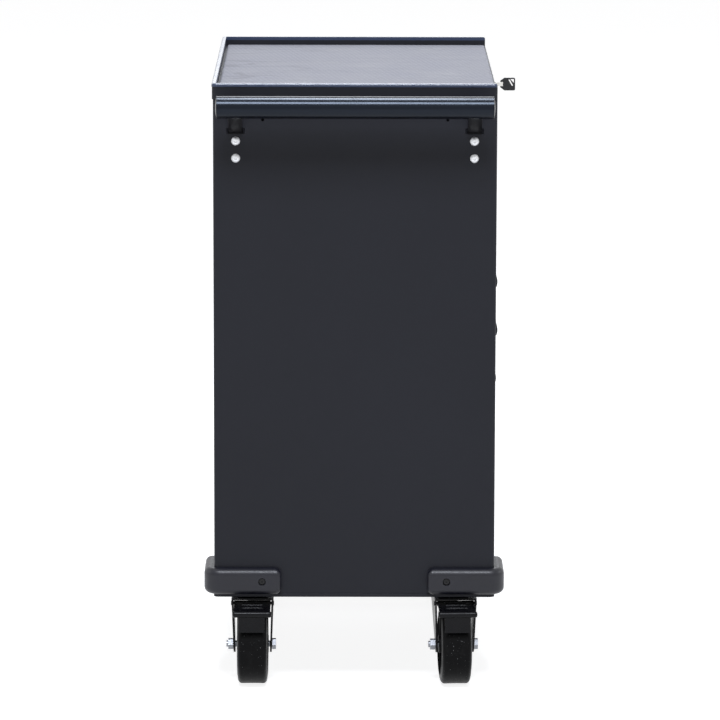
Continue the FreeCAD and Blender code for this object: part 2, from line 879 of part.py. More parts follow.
def snail_cam():
    """A plate whose edge rises by the bar's lift over a quarter turn."""
    start = cam_point(0)
    end = cam_point(90)
    rise = Part.Arc(start, cam_point(45), end).toShape()
    low = vec(0, cam_y, lock_z - cam_low_radius)
    back = vec(cam_low_radius, cam_y, lock_z)
    round_side = Part.Arc(low, back, start).toShape()
    face = Part.Face(Part.Wire([rise, Part.makeLine(end, low), round_side]))
    return face.extrude(vec(0, cam_thickness, 0))


def key_blade():
    """Flat blade from the keyway out to the inside of the key's head."""
    front = plug_front_y()
    t = key_thickness / 2
    blade = box(-t, t, front, front + key_blade_depth, lock_z - key_blade_height / 2,
                lock_z + key_blade_height / 2)
    neck = box(-t, t, front - key_neck_length - key_head_length / 2, front, lock_z - key_neck_height / 2,
               lock_z + key_neck_height / 2)
    return join([blade, neck])


def key_head():
    """Moulded head with sloping shoulders, a notch round the blade, a ring hole and a slit beside it."""
    y1 = plug_front_y() - key_neck_length
    y0 = y1 - key_head_length
    half = key_head_height / 2
    outline = [
        (y1, lock_z - key_tip_height / 2),
        (y1, lock_z + key_tip_height / 2),
        (y1 - key_shoulder, lock_z + half),
        (y0, lock_z + half),
        (y0, lock_z - half),
        (y1 - key_shoulder, lock_z - half),
    ]
    head = plate_yz(outline, -key_head_thickness / 2, key_head_thickness / 2)
    outer = [edge for edge in head.Edges
             if abs(edge.BoundBox.YMax - y0) < 1e-3 and edge.BoundBox.XLength > 1]
    head = head.makeFillet(key_head_corner, outer)
    ring_y = y0 + key_ring_wall
    ring_z = lock_z + half - key_ring_wall
    ring = [(ring_y, ring_z), (ring_y, ring_z - key_ring_height), (ring_y + key_ring_length, ring_z)]
    hole = plate_yz(ring, -key_head_thickness, key_head_thickness)
    slit_y = ring_y + key_slit_offset
    slit_low_y = slit_y - key_slit_lean
    slit_top = ring_z - key_slit_drop
    slit_low = slit_top - key_slit_height
    slit = plate_yz([
        (slit_y + key_slit_width, slit_top), (slit_y, slit_top),
        (slit_low_y, slit_low), (slit_low_y + key_slit_width, slit_low),
    ], -key_head_thickness, key_head_thickness)
    notch = box(-key_head_thickness, key_head_thickness, y1 - key_notch_depth, y1 + cut_past,
                lock_z - key_notch_height / 2, lock_z + key_notch_height / 2)
    return head.cut([key_blade(), hole, slit, notch])


def lock_bar():
    """Rod over the cam, flat bar down the back and one hook for each drawer."""
    half = bar_width / 2
    rises = tray_bottoms()
    low = rises[-1] - tray_lift
    bar = box(-half, half, bar_face_y, bar_back_y, low, rod_bottom + bar_rod_height)
    arm = box(-bar_rod_width / 2, bar_rod_width / 2, cam_y, bar_back_y, rod_bottom,
              rod_bottom + bar_rod_height)
    pieces = [bar, arm]
    for z0 in rises:
        tooth_top = z0 + striker_rise - striker_lip_height - hook_drop
        tooth_low = tooth_top - tooth_height
        tip = bar_face_y - hook_reach
        pieces.append(box(-hook_width / 2, hook_width / 2, tip, bar_face_y + hook_wall, tooth_low,
                          tooth_low + hook_wall))
        pieces.append(box(-hook_width / 2, hook_width / 2, tip, tip + hook_tooth_wall, tooth_low,
                          tooth_top))
    slots = []
    r = bar_slot_width / 2
    for z in bar_stud_rises():
        start_low = vec(0, bar_face_y - cut_past, z - bar_lift)
        straight = box(-r, r, bar_face_y - cut_past, bar_back_y + cut_past, z - bar_lift, z)
        ends = [rod(r, start_low, vec(0, 1, 0), bar_thickness + 2 * cut_past),
                rod(r, vec(0, bar_face_y - cut_past, z), vec(0, 1, 0), bar_thickness + 2 * cut_past)]
        slots.append(join([straight] + ends))
    return join(pieces).cut(slots)


def bar_studs():
    """Shouldered studs riveted to the back panel, which the bar's slots run on."""
    studs = []
    axis = vec(0, -1, 0)
    for z in bar_stud_rises():
        collar = rod(bar_stud_collar, vec(0, wall_y, z), axis, bar_wall_gap - slide_running_gap)
        pin = rod(bar_stud_radius, vec(0, wall_y + sheet, z), axis, sheet + bar_wall_gap + bar_thickness
                  + 2 * slide_running_gap)
        head = rod(bar_stud_collar, vec(0, bar_face_y - slide_running_gap, z), axis, hook_wall)
        studs.append(join([collar, pin, head]))
    return studs


# Casters
def place_caster(shape, x, y, turn):
    """Turns a caster about its own axis, then moves it under the cabinet."""
    turned = shape.rotated(vec(0, 0, 0), vec(0, 0, 1), turn)
    return turned.translated(vec(x, y, 0))


def caster_places():
    """The four casters: X, Y and turn. The two swivel casters come first, front then rear."""
    front = casters_set_back - caster_y
    rear = casters_set_back + caster_y
    return [
        (-caster_x, front, 180 + front_caster_turn),
        (-caster_x, rear, 180 + rear_caster_turn),
        (caster_x, front, 0),
        (caster_x, rear, 0),
    ]


def plate_bolt_places():
    return [(x, y) for x in (-plate_bolt_spacing_x / 2, plate_bolt_spacing_x / 2)
            for y in (-plate_bolt_spacing_y / 2, plate_bolt_spacing_y / 2)]


def caster_bolt_holes():
    """Holes through the base pan for all sixteen bolts."""
    holes = []
    for x, y, turn in caster_places():
        for bx, by in plate_bolt_places():
            start = vec(x + bx, y + by, caster_height - plate_thickness)
            holes.append(rod(mount_bolt_radius + hole_clearance, start, vec(0, 0, 1), 3 * plate_thickness))
    return holes


def caster_bolts():
    pieces = []
    underside = caster_height - plate_thickness
    for x, y, turn in caster_places():
        for bx, by in plate_bolt_places():
            foot = vec(x + bx, y + by, underside)
            top = vec(x + bx, y + by, base_top)
            head = hexagon(mount_bolt_flats, foot - vec(0, 0, mount_bolt_head), vec(0, 0, 1),
                           mount_bolt_head)
            shank = rod(mount_bolt_radius, foot, vec(0, 0, 1),
                        base_top - underside + mount_nut_height + thread_end)
            nut = hexagon(mount_bolt_flats, top, vec(0, 0, 1), mount_nut_height)
            nut = nut.cut(rod(mount_bolt_radius, top, vec(0, 0, 1), mount_nut_height))
            pieces += [join([head, shank]), nut]
    return pieces


def caster_plate_blank():
    """The plate that bolts to the base pan."""
    x = plate_length / 2
    y = plate_width / 2
    plate = box(-x, x, -y, y, caster_height - plate_thickness, caster_height)
    plate = round_upright(plate, [(-x, -y), (x, -y), (-x, y), (x, y)], plate_corner_radius)
    holes = [rod(mount_bolt_radius + hole_clearance, vec(bx, by, caster_height - 2 * plate_thickness),
                 vec(0, 0, 1),
                 3 * plate_thickness) for bx, by in plate_bolt_places()]
    return plate.cut(holes)


def swivel_plate():
    """Plate with its ball race and the kingpin that holds the fork."""
    underside = caster_height - plate_thickness
    race = rod(race_radius, vec(0, 0, underside - race_height), vec(0, 0, 1), race_height)
    crown_low = crown_top - fork_wall
    head_top = crown_low - race_gap
    pin = rod(kingpin_radius, vec(0, 0, head_top), vec(0, 0, 1), underside - head_top)
    head = rod(kingpin_head_radius, vec(0, 0, head_top - kingpin_head_height), vec(0, 0, 1),
               kingpin_head_height)
    return join([caster_plate_blank(), race, pin, head])


def fork_arch(top, x0, x1, leg_bottom):
    """An upside-down U that narrows slightly towards the floor."""
    wide = fork_top_width / 2
    narrow = fork_low_width / 2
    t = fork_wall
    inner_wide = wide - t - (wide - narrow) * t / (top - leg_bottom)
    points = [(-narrow, leg_bottom), (-wide, top), (wide, top), (narrow, leg_bottom),
              (narrow - t, leg_bottom),
              (inner_wide, top - t), (-inner_wide, top - t), (-narrow + t, leg_bottom)]
    return plate_yz(points, x0, x1)


def leg_outline(points, axle_x):
    """Side view of a fork: the given points, closed by a round end about the axle."""
    half = fork_top_width
    axle_z = wheel_radius
    r = fork_end_radius
    start = vec(axle_x + r, -half, axle_z)
    middle = vec(axle_x, -half, axle_z - r)
    end = vec(axle_x - r, -half, axle_z)
    corners = [vec(x, -half, z) for x, z in points]
    edges = [Part.Arc(start, middle, end).toShape()]
    chain = [end] + corners + [start]
    for first, last in zip(chain, chain[1:]):
        edges.append(Part.makeLine(first, last))
    return Part.Face(Part.Wire(edges)).extrude(vec(0, 2 * half, 0))


def cross_holes(x, z, radius):
    return rod(radius, vec(x, -fork_top_width, z), vec(0, 1, 0), 2 * fork_top_width)


def swivel_fork():
    """Pressed fork: crown with the lower race, two legs to the axle and ears for the pedal's pin."""
    leg_bottom = wheel_radius - fork_end_radius
    arch = fork_arch(crown_top, -fork_nose, fork_tail, leg_bottom)
    shoulder = crown_top - fork_shoulder
    side = leg_outline([(-fork_nose, shoulder), (-fork_nose, crown_top), (fork_tail, crown_top),
                        (fork_tail, shoulder)], caster_trail)
    race = rod(fork_race_radius, vec(0, 0, crown_top), vec(0, 0, 1), fork_race_height)
    bore = rod(kingpin_radius + running_gap, vec(0, 0, crown_top - 2 * fork_wall), vec(0, 0, 1),
               4 * fork_wall)
    fork = join([arch.common(side), race])
    holes = [bore, cross_holes(caster_trail, wheel_radius, axle_radius),
             cross_holes(pedal_pin_reach, pedal_pin_rise, pedal_pin_radius)]
    return fork.cut(holes)


def axle_pieces(axle_x):
    """Hex bolt with its head on one side and a nut on the other, outside the fork's legs."""
    outside = fork_low_width / 2 + leg_lean_at_axle()
    inner = vec(0, -1, 0)
    start = vec(axle_x, outside, wheel_radius)
    head = hexagon(axle_head_flats, start, vec(0, 1, 0), axle_head_height)
    length = 2 * outside + axle_nut_height + axle_end_beyond_nut
    shaft = rod(axle_radius, start, inner, length)
    nut_place = vec(axle_x, -outside, wheel_radius)
    nut = hexagon(axle_head_flats, nut_place, inner, axle_nut_height)
    nut = nut.cut(rod(axle_radius, nut_place, inner, axle_nut_height))
    return [join([head, shaft]), nut]


def leg_lean_at_axle():
    """How much wider the fork is at the top edge of the axle's head than at the legs' ends."""
    slope = (fork_top_width - fork_low_width) / 2 / (crown_top - wheel_radius + fork_end_radius)
    return slope * (fork_end_radius + axle_head_flats / math.sqrt(3))


def fork_pins():
    """Axle bolt, its nut and the pedal's pin."""
    wide = fork_top_width / 2 + running_gap
    pin = rod(pedal_pin_radius, vec(pedal_pin_reach, -wide, pedal_pin_rise), vec(0, 1, 0), 2 * wide)
    heads = []
    for side in (-1, 1):
        heads.append(rod(pedal_pin_head_radius, vec(pedal_pin_reach, side * wide, pedal_pin_rise),
                         vec(0, side, 0), pedal_pin_head_height))
    return axle_pieces(caster_trail) + [join([pin] + heads)]


def wheel_core():
    """Moulded wheel: hub, web with ribs and rim, turned about the axle."""
    seat = wheel_radius - tyre_depth
    rim_in = seat - rim_wall
    bore = axle_radius + running_gap
    profile = [
        (bore, -hub_half_width), (hub_radius, -hub_half_width), (hub_radius, -web_half_width),
        (rim_in, -web_half_width), (rim_in, -rim_half_width), (seat, -rim_half_width),
        (seat, rim_half_width), (rim_in, rim_half_width), (rim_in, web_half_width),
        (hub_radius, web_half_width), (hub_radius, hub_half_width), (bore, hub_half_width),
    ]
    corners = [vec(r, y, 0) for r, y in profile]
    corners.append(corners[0])
    core = Part.Face(Part.makePolygon(corners)).revolve(vec(0, 0, 0), vec(0, 1, 0), 360)
    ribs = []
    for number in range(rib_count):
        rib = box(hub_radius - cut_past, rim_in + cut_past, -rib_half_width, rib_half_width,
                  -rib_wall / 2, rib_wall / 2)
        ribs.append(rib.rotated(vec(0, 0, 0), vec(0, 1, 0), 360 * number / rib_count))
    return join([core] + ribs)


def tyre():
    """Rubber tread with round shoulders and slightly sloping sides."""
    seat = wheel_radius - tyre_depth
    low = wheel_radius - tyre_shoulder_drop
    turn = math.sqrt(0.5)

    def shoulder(side):
        """Arc from the tread to the side wall."""
        run = tyre_half_width - tread_half_width
        start = vec(wheel_radius, side * tread_half_width, 0)
        middle = vec(low + tyre_shoulder_drop * turn, side * (tread_half_width + run * turn), 0)
        end = vec(low, side * tyre_half_width, 0)
        return start, middle, end

    a0, a1, a2 = shoulder(-1)
    b0, b1, b2 = shoulder(1)
    seat_a = vec(seat, -tyre_seat_half_width, 0)
    seat_b = vec(seat, tyre_seat_half_width, 0)
    edges = [
        Part.Arc(a2, a1, a0).toShape(), Part.makeLine(a0, b0), Part.Arc(b0, b1, b2).toShape(),
        Part.makeLine(b2, seat_b), Part.makeLine(seat_b, seat_a), Part.makeLine(seat_a, a2),
    ]
    return Part.Face(Part.Wire(edges)).revolve(vec(0, 0, 0), vec(0, 1, 0), 360)


def on_axle(shape, axle_x):
    return shape.translated(vec(axle_x, 0, wheel_radius))


def brake_pedal():
    """Foot bar, broad arm with ribs to the hinge barrel, and the shoe that bears on the tread."""
    half_arm = pedal_arm_width / 2
    half_rib = pedal_rib_width / 2
    barrel = rod(pedal_barrel_radius, vec(pedal_pin_reach, -half_arm, pedal_pin_rise), vec(0, 1, 0),
                 pedal_arm_width)
    bore = cross_holes(pedal_pin_reach, pedal_pin_rise, pedal_pin_radius + running_gap)
    arm_top_in = pedal_pin_rise + pedal_barrel_radius - pedal_arm_drop
    arm_top_out = pedal_bar_rise + pedal_bar_radius
    arm = plate_xz([
        (pedal_pin_reach, arm_top_in), (pedal_bar_reach, arm_top_out),
        (pedal_bar_reach, arm_top_out - pedal_arm_wall), (pedal_pin_reach, arm_top_in - pedal_arm_wall),
    ], -half_arm, half_arm)
    half_bar = pedal_bar_width / 2
    bar = rod(pedal_bar_radius, vec(pedal_bar_reach, -half_bar, pedal_bar_rise), vec(0, 1, 0),
              pedal_bar_width)
    ends = [edge for edge in bar.Edges if edge.BoundBox.YLength < 1e-3]
    bar = bar.makeFillet(pedal_bar_end_radius, ends)
    shoe = plate_yz([
        (-shoe_top_width / 2, pedal_bar_rise), (shoe_top_width / 2, pedal_bar_rise),
        (shoe_low_width / 2, shoe_bottom_rise), (-shoe_low_width / 2, shoe_bottom_rise),
    ], pedal_bar_reach - shoe_wall / 2, pedal_bar_reach + shoe_wall / 2)
    ribs = []
    for reach in pedal_rib_reaches:
        share = (reach - pedal_pin_reach) / (pedal_bar_reach - pedal_pin_reach)
        top = arm_top_in + (arm_top_out - arm_top_in) * share
        ribs.append(rod(pedal_rib_radius, vec(reach, -half_rib, top), vec(0, 1, 0), pedal_rib_width))
    return join([barrel, arm, bar, shoe] + ribs).cut(bore)


def fixed_frame():
    """Plate and two legs in one piece, for a wheel that doesn't swivel."""
    top = caster_height - plate_thickness
    leg_bottom = wheel_radius - fork_end_radius
    arch = fork_arch(top, -plate_length / 2, plate_length / 2, leg_bottom)
    side = leg_outline([(-fork_nose, top - fork_shoulder), (-fork_nose, top), (fork_nose, top),
                        (fork_nose, top - fork_shoulder)], 0)
    frame = join([arch.common(side), caster_plate_blank()])
    return frame.cut(cross_holes(0, wheel_radius, axle_radius))


# Every node
nodes = {}


def put(name, shapes):
    """Keeps a node's solids, checked and in one list."""
    solids = []
    for shape in shapes:
        solids += shape.Solids
    for solid in solids:
        if not solid.isValid():
            print("not valid:", name)
    nodes[name] = solids


put("left_side_panel", [left_panel()])
put("right_side_panel", [right_panel()])
put("back_panel", [back_panel()])
put("base_pan", [base_pan()])
put("front_rails", front_rails())
put("slide_uprights", slide_uprights())
put("top_tray", [top_tray()])
put("top_mat", [top_mat()])
put("corner_bumpers", at_four_corners([bumper()]))
put("bumper_screws", at_four_corners(bumper_screws()))
put("handle_tube", [handle_tube()])
put("handle_end_caps", [handle_end_cap(), mirror_y(handle_end_cap())])
put("handle_brackets", [bracket(-upright_offset), bracket(upright_offset)])
put("handle_bolts", handle_bolts())
put("lock_cylinder", lock_cylinder())
put("lock_plug", [lock_plug()])
put("key_blade", [key_blade()])
put("key_head", [key_head()])
put("lock_bar", [lock_bar()])
put("lock_bar_studs", bar_studs())

outer_members = []
for index in range(len(front_heights)):
    number = str(index + 1)
    z = slide_rises()[index]
    open_by = vec(0, -drawers_ajar[index], 0)
    half_open = vec(0, -drawers_ajar[index] / 2, 0)
    outer_members += [slide_outer(z), mirror_x(slide_outer(z))]
    middles = [slide_middle(z), mirror_x(slide_middle(z))]
    put("drawer_" + number, [piece.translated(open_by) for piece in drawer(index)])
    put("drawer_pull_" + number, [piece.translated(open_by) for piece in pull(index)])
    put("slide_middles_" + number, [piece.translated(half_open) for piece in middles])
put("slide_channels", outer_members)

swivel_plates = []
fixed_frames = []
fixed_pins = []
for corner, place in zip(("front_left", "rear_left", "front_right", "rear_right"), caster_places()):
    swivels = corner.endswith("left")
    axle_x = caster_trail if swivels else 0
    if swivels:
        swivel_plates.append(place_caster(swivel_plate(), place[0], place[1], 0))
        put("fork_" + corner, [place_caster(swivel_fork(), *place)])
        put("fork_pins_" + corner, [place_caster(piece, *place) for piece in fork_pins()])
        put("brake_pedal_" + corner, [place_caster(brake_pedal(), *place)])
    else:
        fixed_frames.append(place_caster(fixed_frame(), *place))
        fixed_pins += [place_caster(piece, *place) for piece in axle_pieces(axle_x)]
    put("wheel_" + corner, [place_caster(on_axle(wheel_core(), axle_x), *place)])
    put("tyre_" + corner, [place_caster(on_axle(tyre(), axle_x), *place)])
put("swivel_plates", swivel_plates)
put("fixed_caster_frames", fixed_frames)
put("fixed_caster_axles", fixed_pins)
put("caster_bolts", caster_bolts())

# The origin is the bottom centre of the whole box. The handle and the key stand
# out furthest on the left and in front, and the bumpers on the right and behind.
reach_left = max(half_length + handle_standoff + handle_tube_radius, half_length + bumper_thickness)
reach_right = half_length + bumper_thickness
reach_front = max(-plug_front_y() + key_neck_length + key_head_length, half_depth + bumper_thickness)
reach_back = half_depth + bumper_thickness
frame_shift = vec((reach_left - reach_right) / 2, (reach_front - reach_back) / 2, 0)

for name, solids in nodes.items():
    moved = [solid.translated(frame_shift) for solid in solids]
    shape = moved[0] if len(moved) == 1 else Part.makeCompound(moved)
    shape.exportStep("parts/" + name + ".step")
print("nodes", len(nodes), "frame shift", frame_shift.x, frame_shift.y)
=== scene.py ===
"""Dresses the rolling tool cabinet: finishes for its metal and fittings, a modelled mat and tyres."""

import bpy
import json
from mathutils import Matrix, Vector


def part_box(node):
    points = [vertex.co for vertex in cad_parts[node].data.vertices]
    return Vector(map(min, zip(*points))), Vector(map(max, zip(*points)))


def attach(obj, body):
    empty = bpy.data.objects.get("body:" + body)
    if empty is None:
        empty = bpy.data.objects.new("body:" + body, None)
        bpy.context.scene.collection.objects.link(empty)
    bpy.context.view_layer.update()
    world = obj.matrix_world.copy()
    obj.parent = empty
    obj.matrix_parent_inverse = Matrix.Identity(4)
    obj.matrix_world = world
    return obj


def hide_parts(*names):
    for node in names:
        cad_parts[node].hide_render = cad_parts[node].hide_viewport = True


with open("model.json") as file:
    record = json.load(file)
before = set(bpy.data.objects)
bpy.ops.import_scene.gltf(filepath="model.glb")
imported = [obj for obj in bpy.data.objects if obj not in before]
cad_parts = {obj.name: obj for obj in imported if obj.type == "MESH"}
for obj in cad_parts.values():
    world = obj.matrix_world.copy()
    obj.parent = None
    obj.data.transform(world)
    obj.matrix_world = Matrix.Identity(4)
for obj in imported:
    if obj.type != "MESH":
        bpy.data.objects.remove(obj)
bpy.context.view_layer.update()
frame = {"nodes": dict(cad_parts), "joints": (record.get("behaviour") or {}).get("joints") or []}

import json
import logging
import math
from dataclasses import dataclass
from enum import Enum

import bpy
import numpy as np
from mathutils import Matrix, Vector

Colour = tuple[float, float, float]
Point = tuple[float, float, float]
Socket = bpy.types.NodeSocket

report = logging.getLogger("tool_cabinet")
MM = 0.001
SAME: Point = (1, 1, 1)
# Nearly all of a soft random pattern lies between these two values.
NOISE_LOW, NOISE_HIGH = 0.3, 0.7
# Agreement of the true and the rounded normal at which an edge's mask starts and is full.
EDGE_START, EDGE_FULL = 0.985, 0.8
BEVEL_SAMPLES = 6


class Corner(Enum):
    """The four casters, named by where they stand."""

    FRONT_LEFT = "front_left"
    REAR_LEFT = "rear_left"
    FRONT_RIGHT = "front_right"
    REAR_RIGHT = "rear_right"


class Wear(Enum):
    """How strongly a finish's edges are lightened: by handling's polish and chips, and on the powder
    and satin coats also by a painted edge highlight.
    """

    LIGHT = 0.35
    HANDLED = 0.7


class Run(Enum):
    """Direction in which a drawn or brushed surface has its fine lines."""

    ALONG_X = (1.0, 60.0, 60.0)
    ALONG_Y = (60.0, 1.0, 60.0)
    NONE = (1.0, 1.0, 1.0)


def linear(red: int, green: int, blue: int) -> Colour:
    """Colour of a paint chip, given as it looks on a screen, as the shader's linear values.

    Args:
        red: Red from 0 to 255.
        green: Green from 0 to 255.
        blue: Blue from 0 to 255.

    Returns:
        The three values with the screen's gamma taken off.
    """
    def one(value: int) -> float:
        share = value / 255
        return share / 12.92 if share <= 0.04045 else ((share + 0.055) / 1.055) ** 2.4

    return one(red), one(green), one(blue)


def scaled(colour: Colour, factor: float, lift: float = 0.0) -> Colour:
    """Darker or lighter copy of a colour.

    Args:
        colour: The colour.
        factor: What each part is multiplied by.
        lift: What is added to each part after that.

    Returns:
        The new colour.
    """
    return tuple(factor * part + lift for part in colour)


class Wiring:
    """Adds and joins the shader nodes of one finish."""

    def __init__(self, name: str) -> None:
        """Starts a material with a principled shader.

        Args:
            name: Name of the material.
        """
        self.material = bpy.data.materials.new(name)
        self.material.use_nodes = True
        self.tree = self.material.node_tree
        self.tree.nodes.clear()
        self.shader = self.add("ShaderNodeBsdfPrincipled")
        output = self.add("ShaderNodeOutputMaterial")
        self.tree.links.new(self.shader.outputs["BSDF"], output.inputs["Surface"])
        self.place = self.add("ShaderNodeTexCoord").outputs["Object"]

    def add(self, kind: str, **settings: object) -> bpy.types.Node:
        """New node of a kind, with its settings.

        Args:
            kind: Blender's name for the kind of node.
            settings: Properties of the node by name.

        Returns:
            The new node.
        """
        node = self.tree.nodes.new(kind)
        for name, value in settings.items():
            setattr(node, name, value)
        return node

    def feed(self, node: bpy.types.Node, name: str | int, value: object) -> None:
        """Joins a socket to an input, or sets the input to a plain value.

        Args:
            node: The node that takes the value.
            name: Name or number of its input.
            value: A socket to join, or a number or colour.
        """
        if isinstance(value, Socket):
            self.tree.links.new(value, node.inputs[name])
        elif isinstance(value, tuple) and node.inputs[name].type == "RGBA":
            node.inputs[name].default_value = (*value, 1.0)
        else:
            node.inputs[name].default_value = value

    def step(self, operation: str, first: object, second: object = 0.0) -> Socket:
        """One step of arithmetic.

        Args:
            operation: Blender's name for the step, such as SUBTRACT.
            first: First number or socket.
            second: Second number or socket, for the steps that take one.

        Returns:
            The result.
        """
        node = self.add("ShaderNodeMath", operation=operation)
        self.feed(node, 0, first)
        self.feed(node, 1, second)
        return node.outputs[0]

    def times(self, first: object, second: object) -> Socket:
        """Product of two numbers or sockets."""
        return self.step("MULTIPLY", first, second)

    def between(self, share: Socket, first: object, second: object) -> Socket:
        """Number between two numbers.

        Args:
            share: 0 gives the first number and 1 the second.
            first: First number or socket.
            second: Second number or socket.

        Returns:
            The number.
        """
        return self.step("ADD", self.times(first, self.step("SUBTRACT", 1.0, share)),
                         self.times(second, share))

    def stretched(self, stretch: Point, turn: float = 0.0) -> Socket:
        """The place on the piece, stretched and turned about the upright axis.

        Args:
            stretch: Factor along each axis.
            turn: Turn in degrees.

        Returns:
            The place as a vector.
        """
        node = self.add("ShaderNodeMapping")
        self.feed(node, "Vector", self.place)
        node.inputs["Scale"].default_value = stretch
        node.inputs["Rotation"].default_value = (0, 0, math.radians(turn))
        return node.outputs[0]

    def noise(self, per_metre: float, detail: float = 2.0, stretch: Point = SAME,
              roughness: float = 0.5) -> Socket:
        """Soft random pattern from 0 to 1.

        Args:
            per_metre: How many swells there are in a metre.
            detail: How many finer layers lie on it.
            stretch: Factor along each axis.
            roughness: Share of the finer layers.

        Returns:
            The pattern.
        """
        node = self.add("ShaderNodeTexNoise")
        self.feed(node, "Vector", self.stretched(stretch) if stretch != SAME else self.place)
        self.feed(node, "Scale", per_metre)
        self.feed(node, "Detail", detail)
        self.feed(node, "Roughness", roughness)
        return node.outputs[0]

    def cells(self, per_metre: float) -> tuple[Socket, Socket]:
        """Random cells, as in crystal or stippled faces.

        Args:
            per_metre: How many cells there are in a metre.

        Returns:
            The distance from each cell's middle, and each cell's own colour.
        """
        node = self.add("ShaderNodeTexVoronoi")
        self.feed(node, "Vector", self.place)
        self.feed(node, "Scale", per_metre)
        return node.outputs["Distance"], node.outputs["Color"]

    def span(self, value: Socket, low: float, high: float, to_low: float = 0.0,
             to_high: float = 1.0) -> Socket:
        """Takes a range of a value onto another range, held at its ends.

        Args:
            value: The value.
            low: Start of its range.
            high: End of its range.
            to_low: Result at the start.
            to_high: Result at the end.

        Returns:
            The result.
        """
        node = self.add("ShaderNodeMapRange")
        for name, number in (("Value", value), ("From Min", low), ("From Max", high),
                             ("To Min", to_low), ("To Max", to_high)):
            self.feed(node, name, number)
        return node.outputs[0]

    def spread(self, pattern: Socket, to_low: float = 0.0, to_high: float = 1.0) -> Socket:
        """Takes a soft random pattern onto a range.

        Args:
            pattern: The pattern.
            to_low: Result where the pattern is low.
            to_high: Result where the pattern is high.

        Returns:
            The result.
        """
        return self.span(pattern, NOISE_LOW, NOISE_HIGH, to_low, to_high)

    def mixed(self, share: object, first: object, second: object) -> Socket:
        """Colour between two colours.

        Args:
            share: 0 gives the first colour and 1 the second.
            first: First colour or socket.
            second: Second colour or socket.

        Returns:
            The colour.
        """
        node = self.add("ShaderNodeMix", data_type="RGBA")
        # Inputs 6 and 7 and output 2 are the node's colour sockets.
        self.feed(node, 0, share)
        self.feed(node, 6, first)
        self.feed(node, 7, second)
        return node.outputs[2]

    def rounded(self, radius: float) -> Socket:
        """Normal of the surface with its edges broken by a small radius, in metres."""
        bevel = self.add("ShaderNodeBevel", samples=BEVEL_SAMPLES)
        self.feed(bevel, "Radius", radius)
        return bevel.outputs[0]

    def edges(self, radius: float) -> Socket:
        """Mask of the sharp outer and inner edges, where the rounded normal leaves the true one.

        Args:
            radius: How far from an edge the mask reaches, in metres.

        Returns:
            0 on plain faces, rising to 1 at edges.
        """
        geometry = self.add("ShaderNodeNewGeometry")
        dot = self.add("ShaderNodeVectorMath", operation="DOT_PRODUCT")
        self.feed(dot, 0, self.rounded(radius))
        self.feed(dot, 1, geometry.outputs["Normal"])
        return self.span(dot.outputs["Value"], EDGE_START, EDGE_FULL)

    def relief(self, height: Socket, depth: float, strength: float,
               on: Socket | None = None) -> Socket:
        """Normal of the surface raised by a height pattern.

        Args:
            height: The pattern from 0 to 1.
            depth: Height of the relief in metres.
            strength: Share of the effect.
            on: Normal that it is laid on.

        Returns:
            The new normal.
        """
        node = self.add("ShaderNodeBump")
        self.feed(node, "Strength", strength)
        self.feed(node, "Distance", depth)
        self.feed(node, "Height", height)
        if on is not None:
            self.feed(node, "Normal", on)
        return node.outputs[0]

    def axis(self, index: int) -> Socket:
        """One of the three coordinates of the place, by number."""
        node = self.add("ShaderNodeSeparateXYZ")
        self.feed(node, 0, self.place)
        return node.outputs[index]

    def dress(self, **values: object) -> bpy.types.Material:
        """Feeds the principled shader's inputs, named with underscores for blanks.

        Args:
            values: Sockets, numbers or colours by input.

        Returns:
            The finished material.
        """
        for name, value in values.items():
            self.feed(self.shader, name.replace("_", " "), value)
        return self.material


@dataclass(frozen=True)
class PowderCoat:
    """Powder paint baked on sheet steel, with a fine orange peel and a faintly uneven sheet."""

    name: str
    colour: Colour
    specular: float = 0.22
    rough: float = 0.5
    wear: Wear = Wear.LIGHT
    edge_radius: float = 1.4 * MM
    peel_depth: float = 0.05 * MM
    sag_depth: float = 0.15 * MM
    speck_gain: float = 2.6

    def paint(self, wiring: Wiring) -> tuple[Socket, Socket, Socket]:
        """Colour, roughness and normal of the coat.

        Args:
            wiring: The material's nodes.

        Returns:
            The three sockets.
        """
        drift = wiring.noise(3.0, detail=3.0)
        speck = wiring.noise(1400.0, detail=1.0)
        colour = wiring.mixed(wiring.spread(drift), scaled(self.colour, 0.92),
                              scaled(self.colour, 1.09))
        colour = wiring.mixed(wiring.span(speck, 0.58, 0.8, 0.0, 0.5), colour,
                              scaled(self.colour, self.speck_gain))
        # Lighter edges where the chip pattern lets through: partly chipped, polished paint, partly a
        # painted edge highlight.
        chips = wiring.span(wiring.noise(90.0), 0.35, 0.75)
        edge_wear_and_highlight = wiring.times(wiring.times(wiring.edges(self.edge_radius), chips), self.wear.value)
        colour = wiring.mixed(edge_wear_and_highlight, colour, scaled(self.colour, 3.0, 0.012))
        patches = wiring.spread(wiring.noise(40.0, detail=4.0), self.rough - 0.015,
                                self.rough + 0.02)
        rough = wiring.step("SUBTRACT", patches, wiring.times(edge_wear_and_highlight, 0.2))
        peel = wiring.relief(wiring.noise(650.0), self.peel_depth, 0.6,
                             wiring.rounded(self.edge_radius))
        sag = wiring.relief(wiring.noise(4.0, detail=0.0), self.sag_depth, 0.3, peel)
        return colour, rough, sag

    def material(self) -> bpy.types.Material:
        """The coat as a material."""
        wiring = Wiring(self.name)
        colour, rough, normal = self.paint(wiring)
        return wiring.dress(Base_Color=colour, Roughness=rough, Normal=normal,
                            Specular_IOR_Level=self.specular)


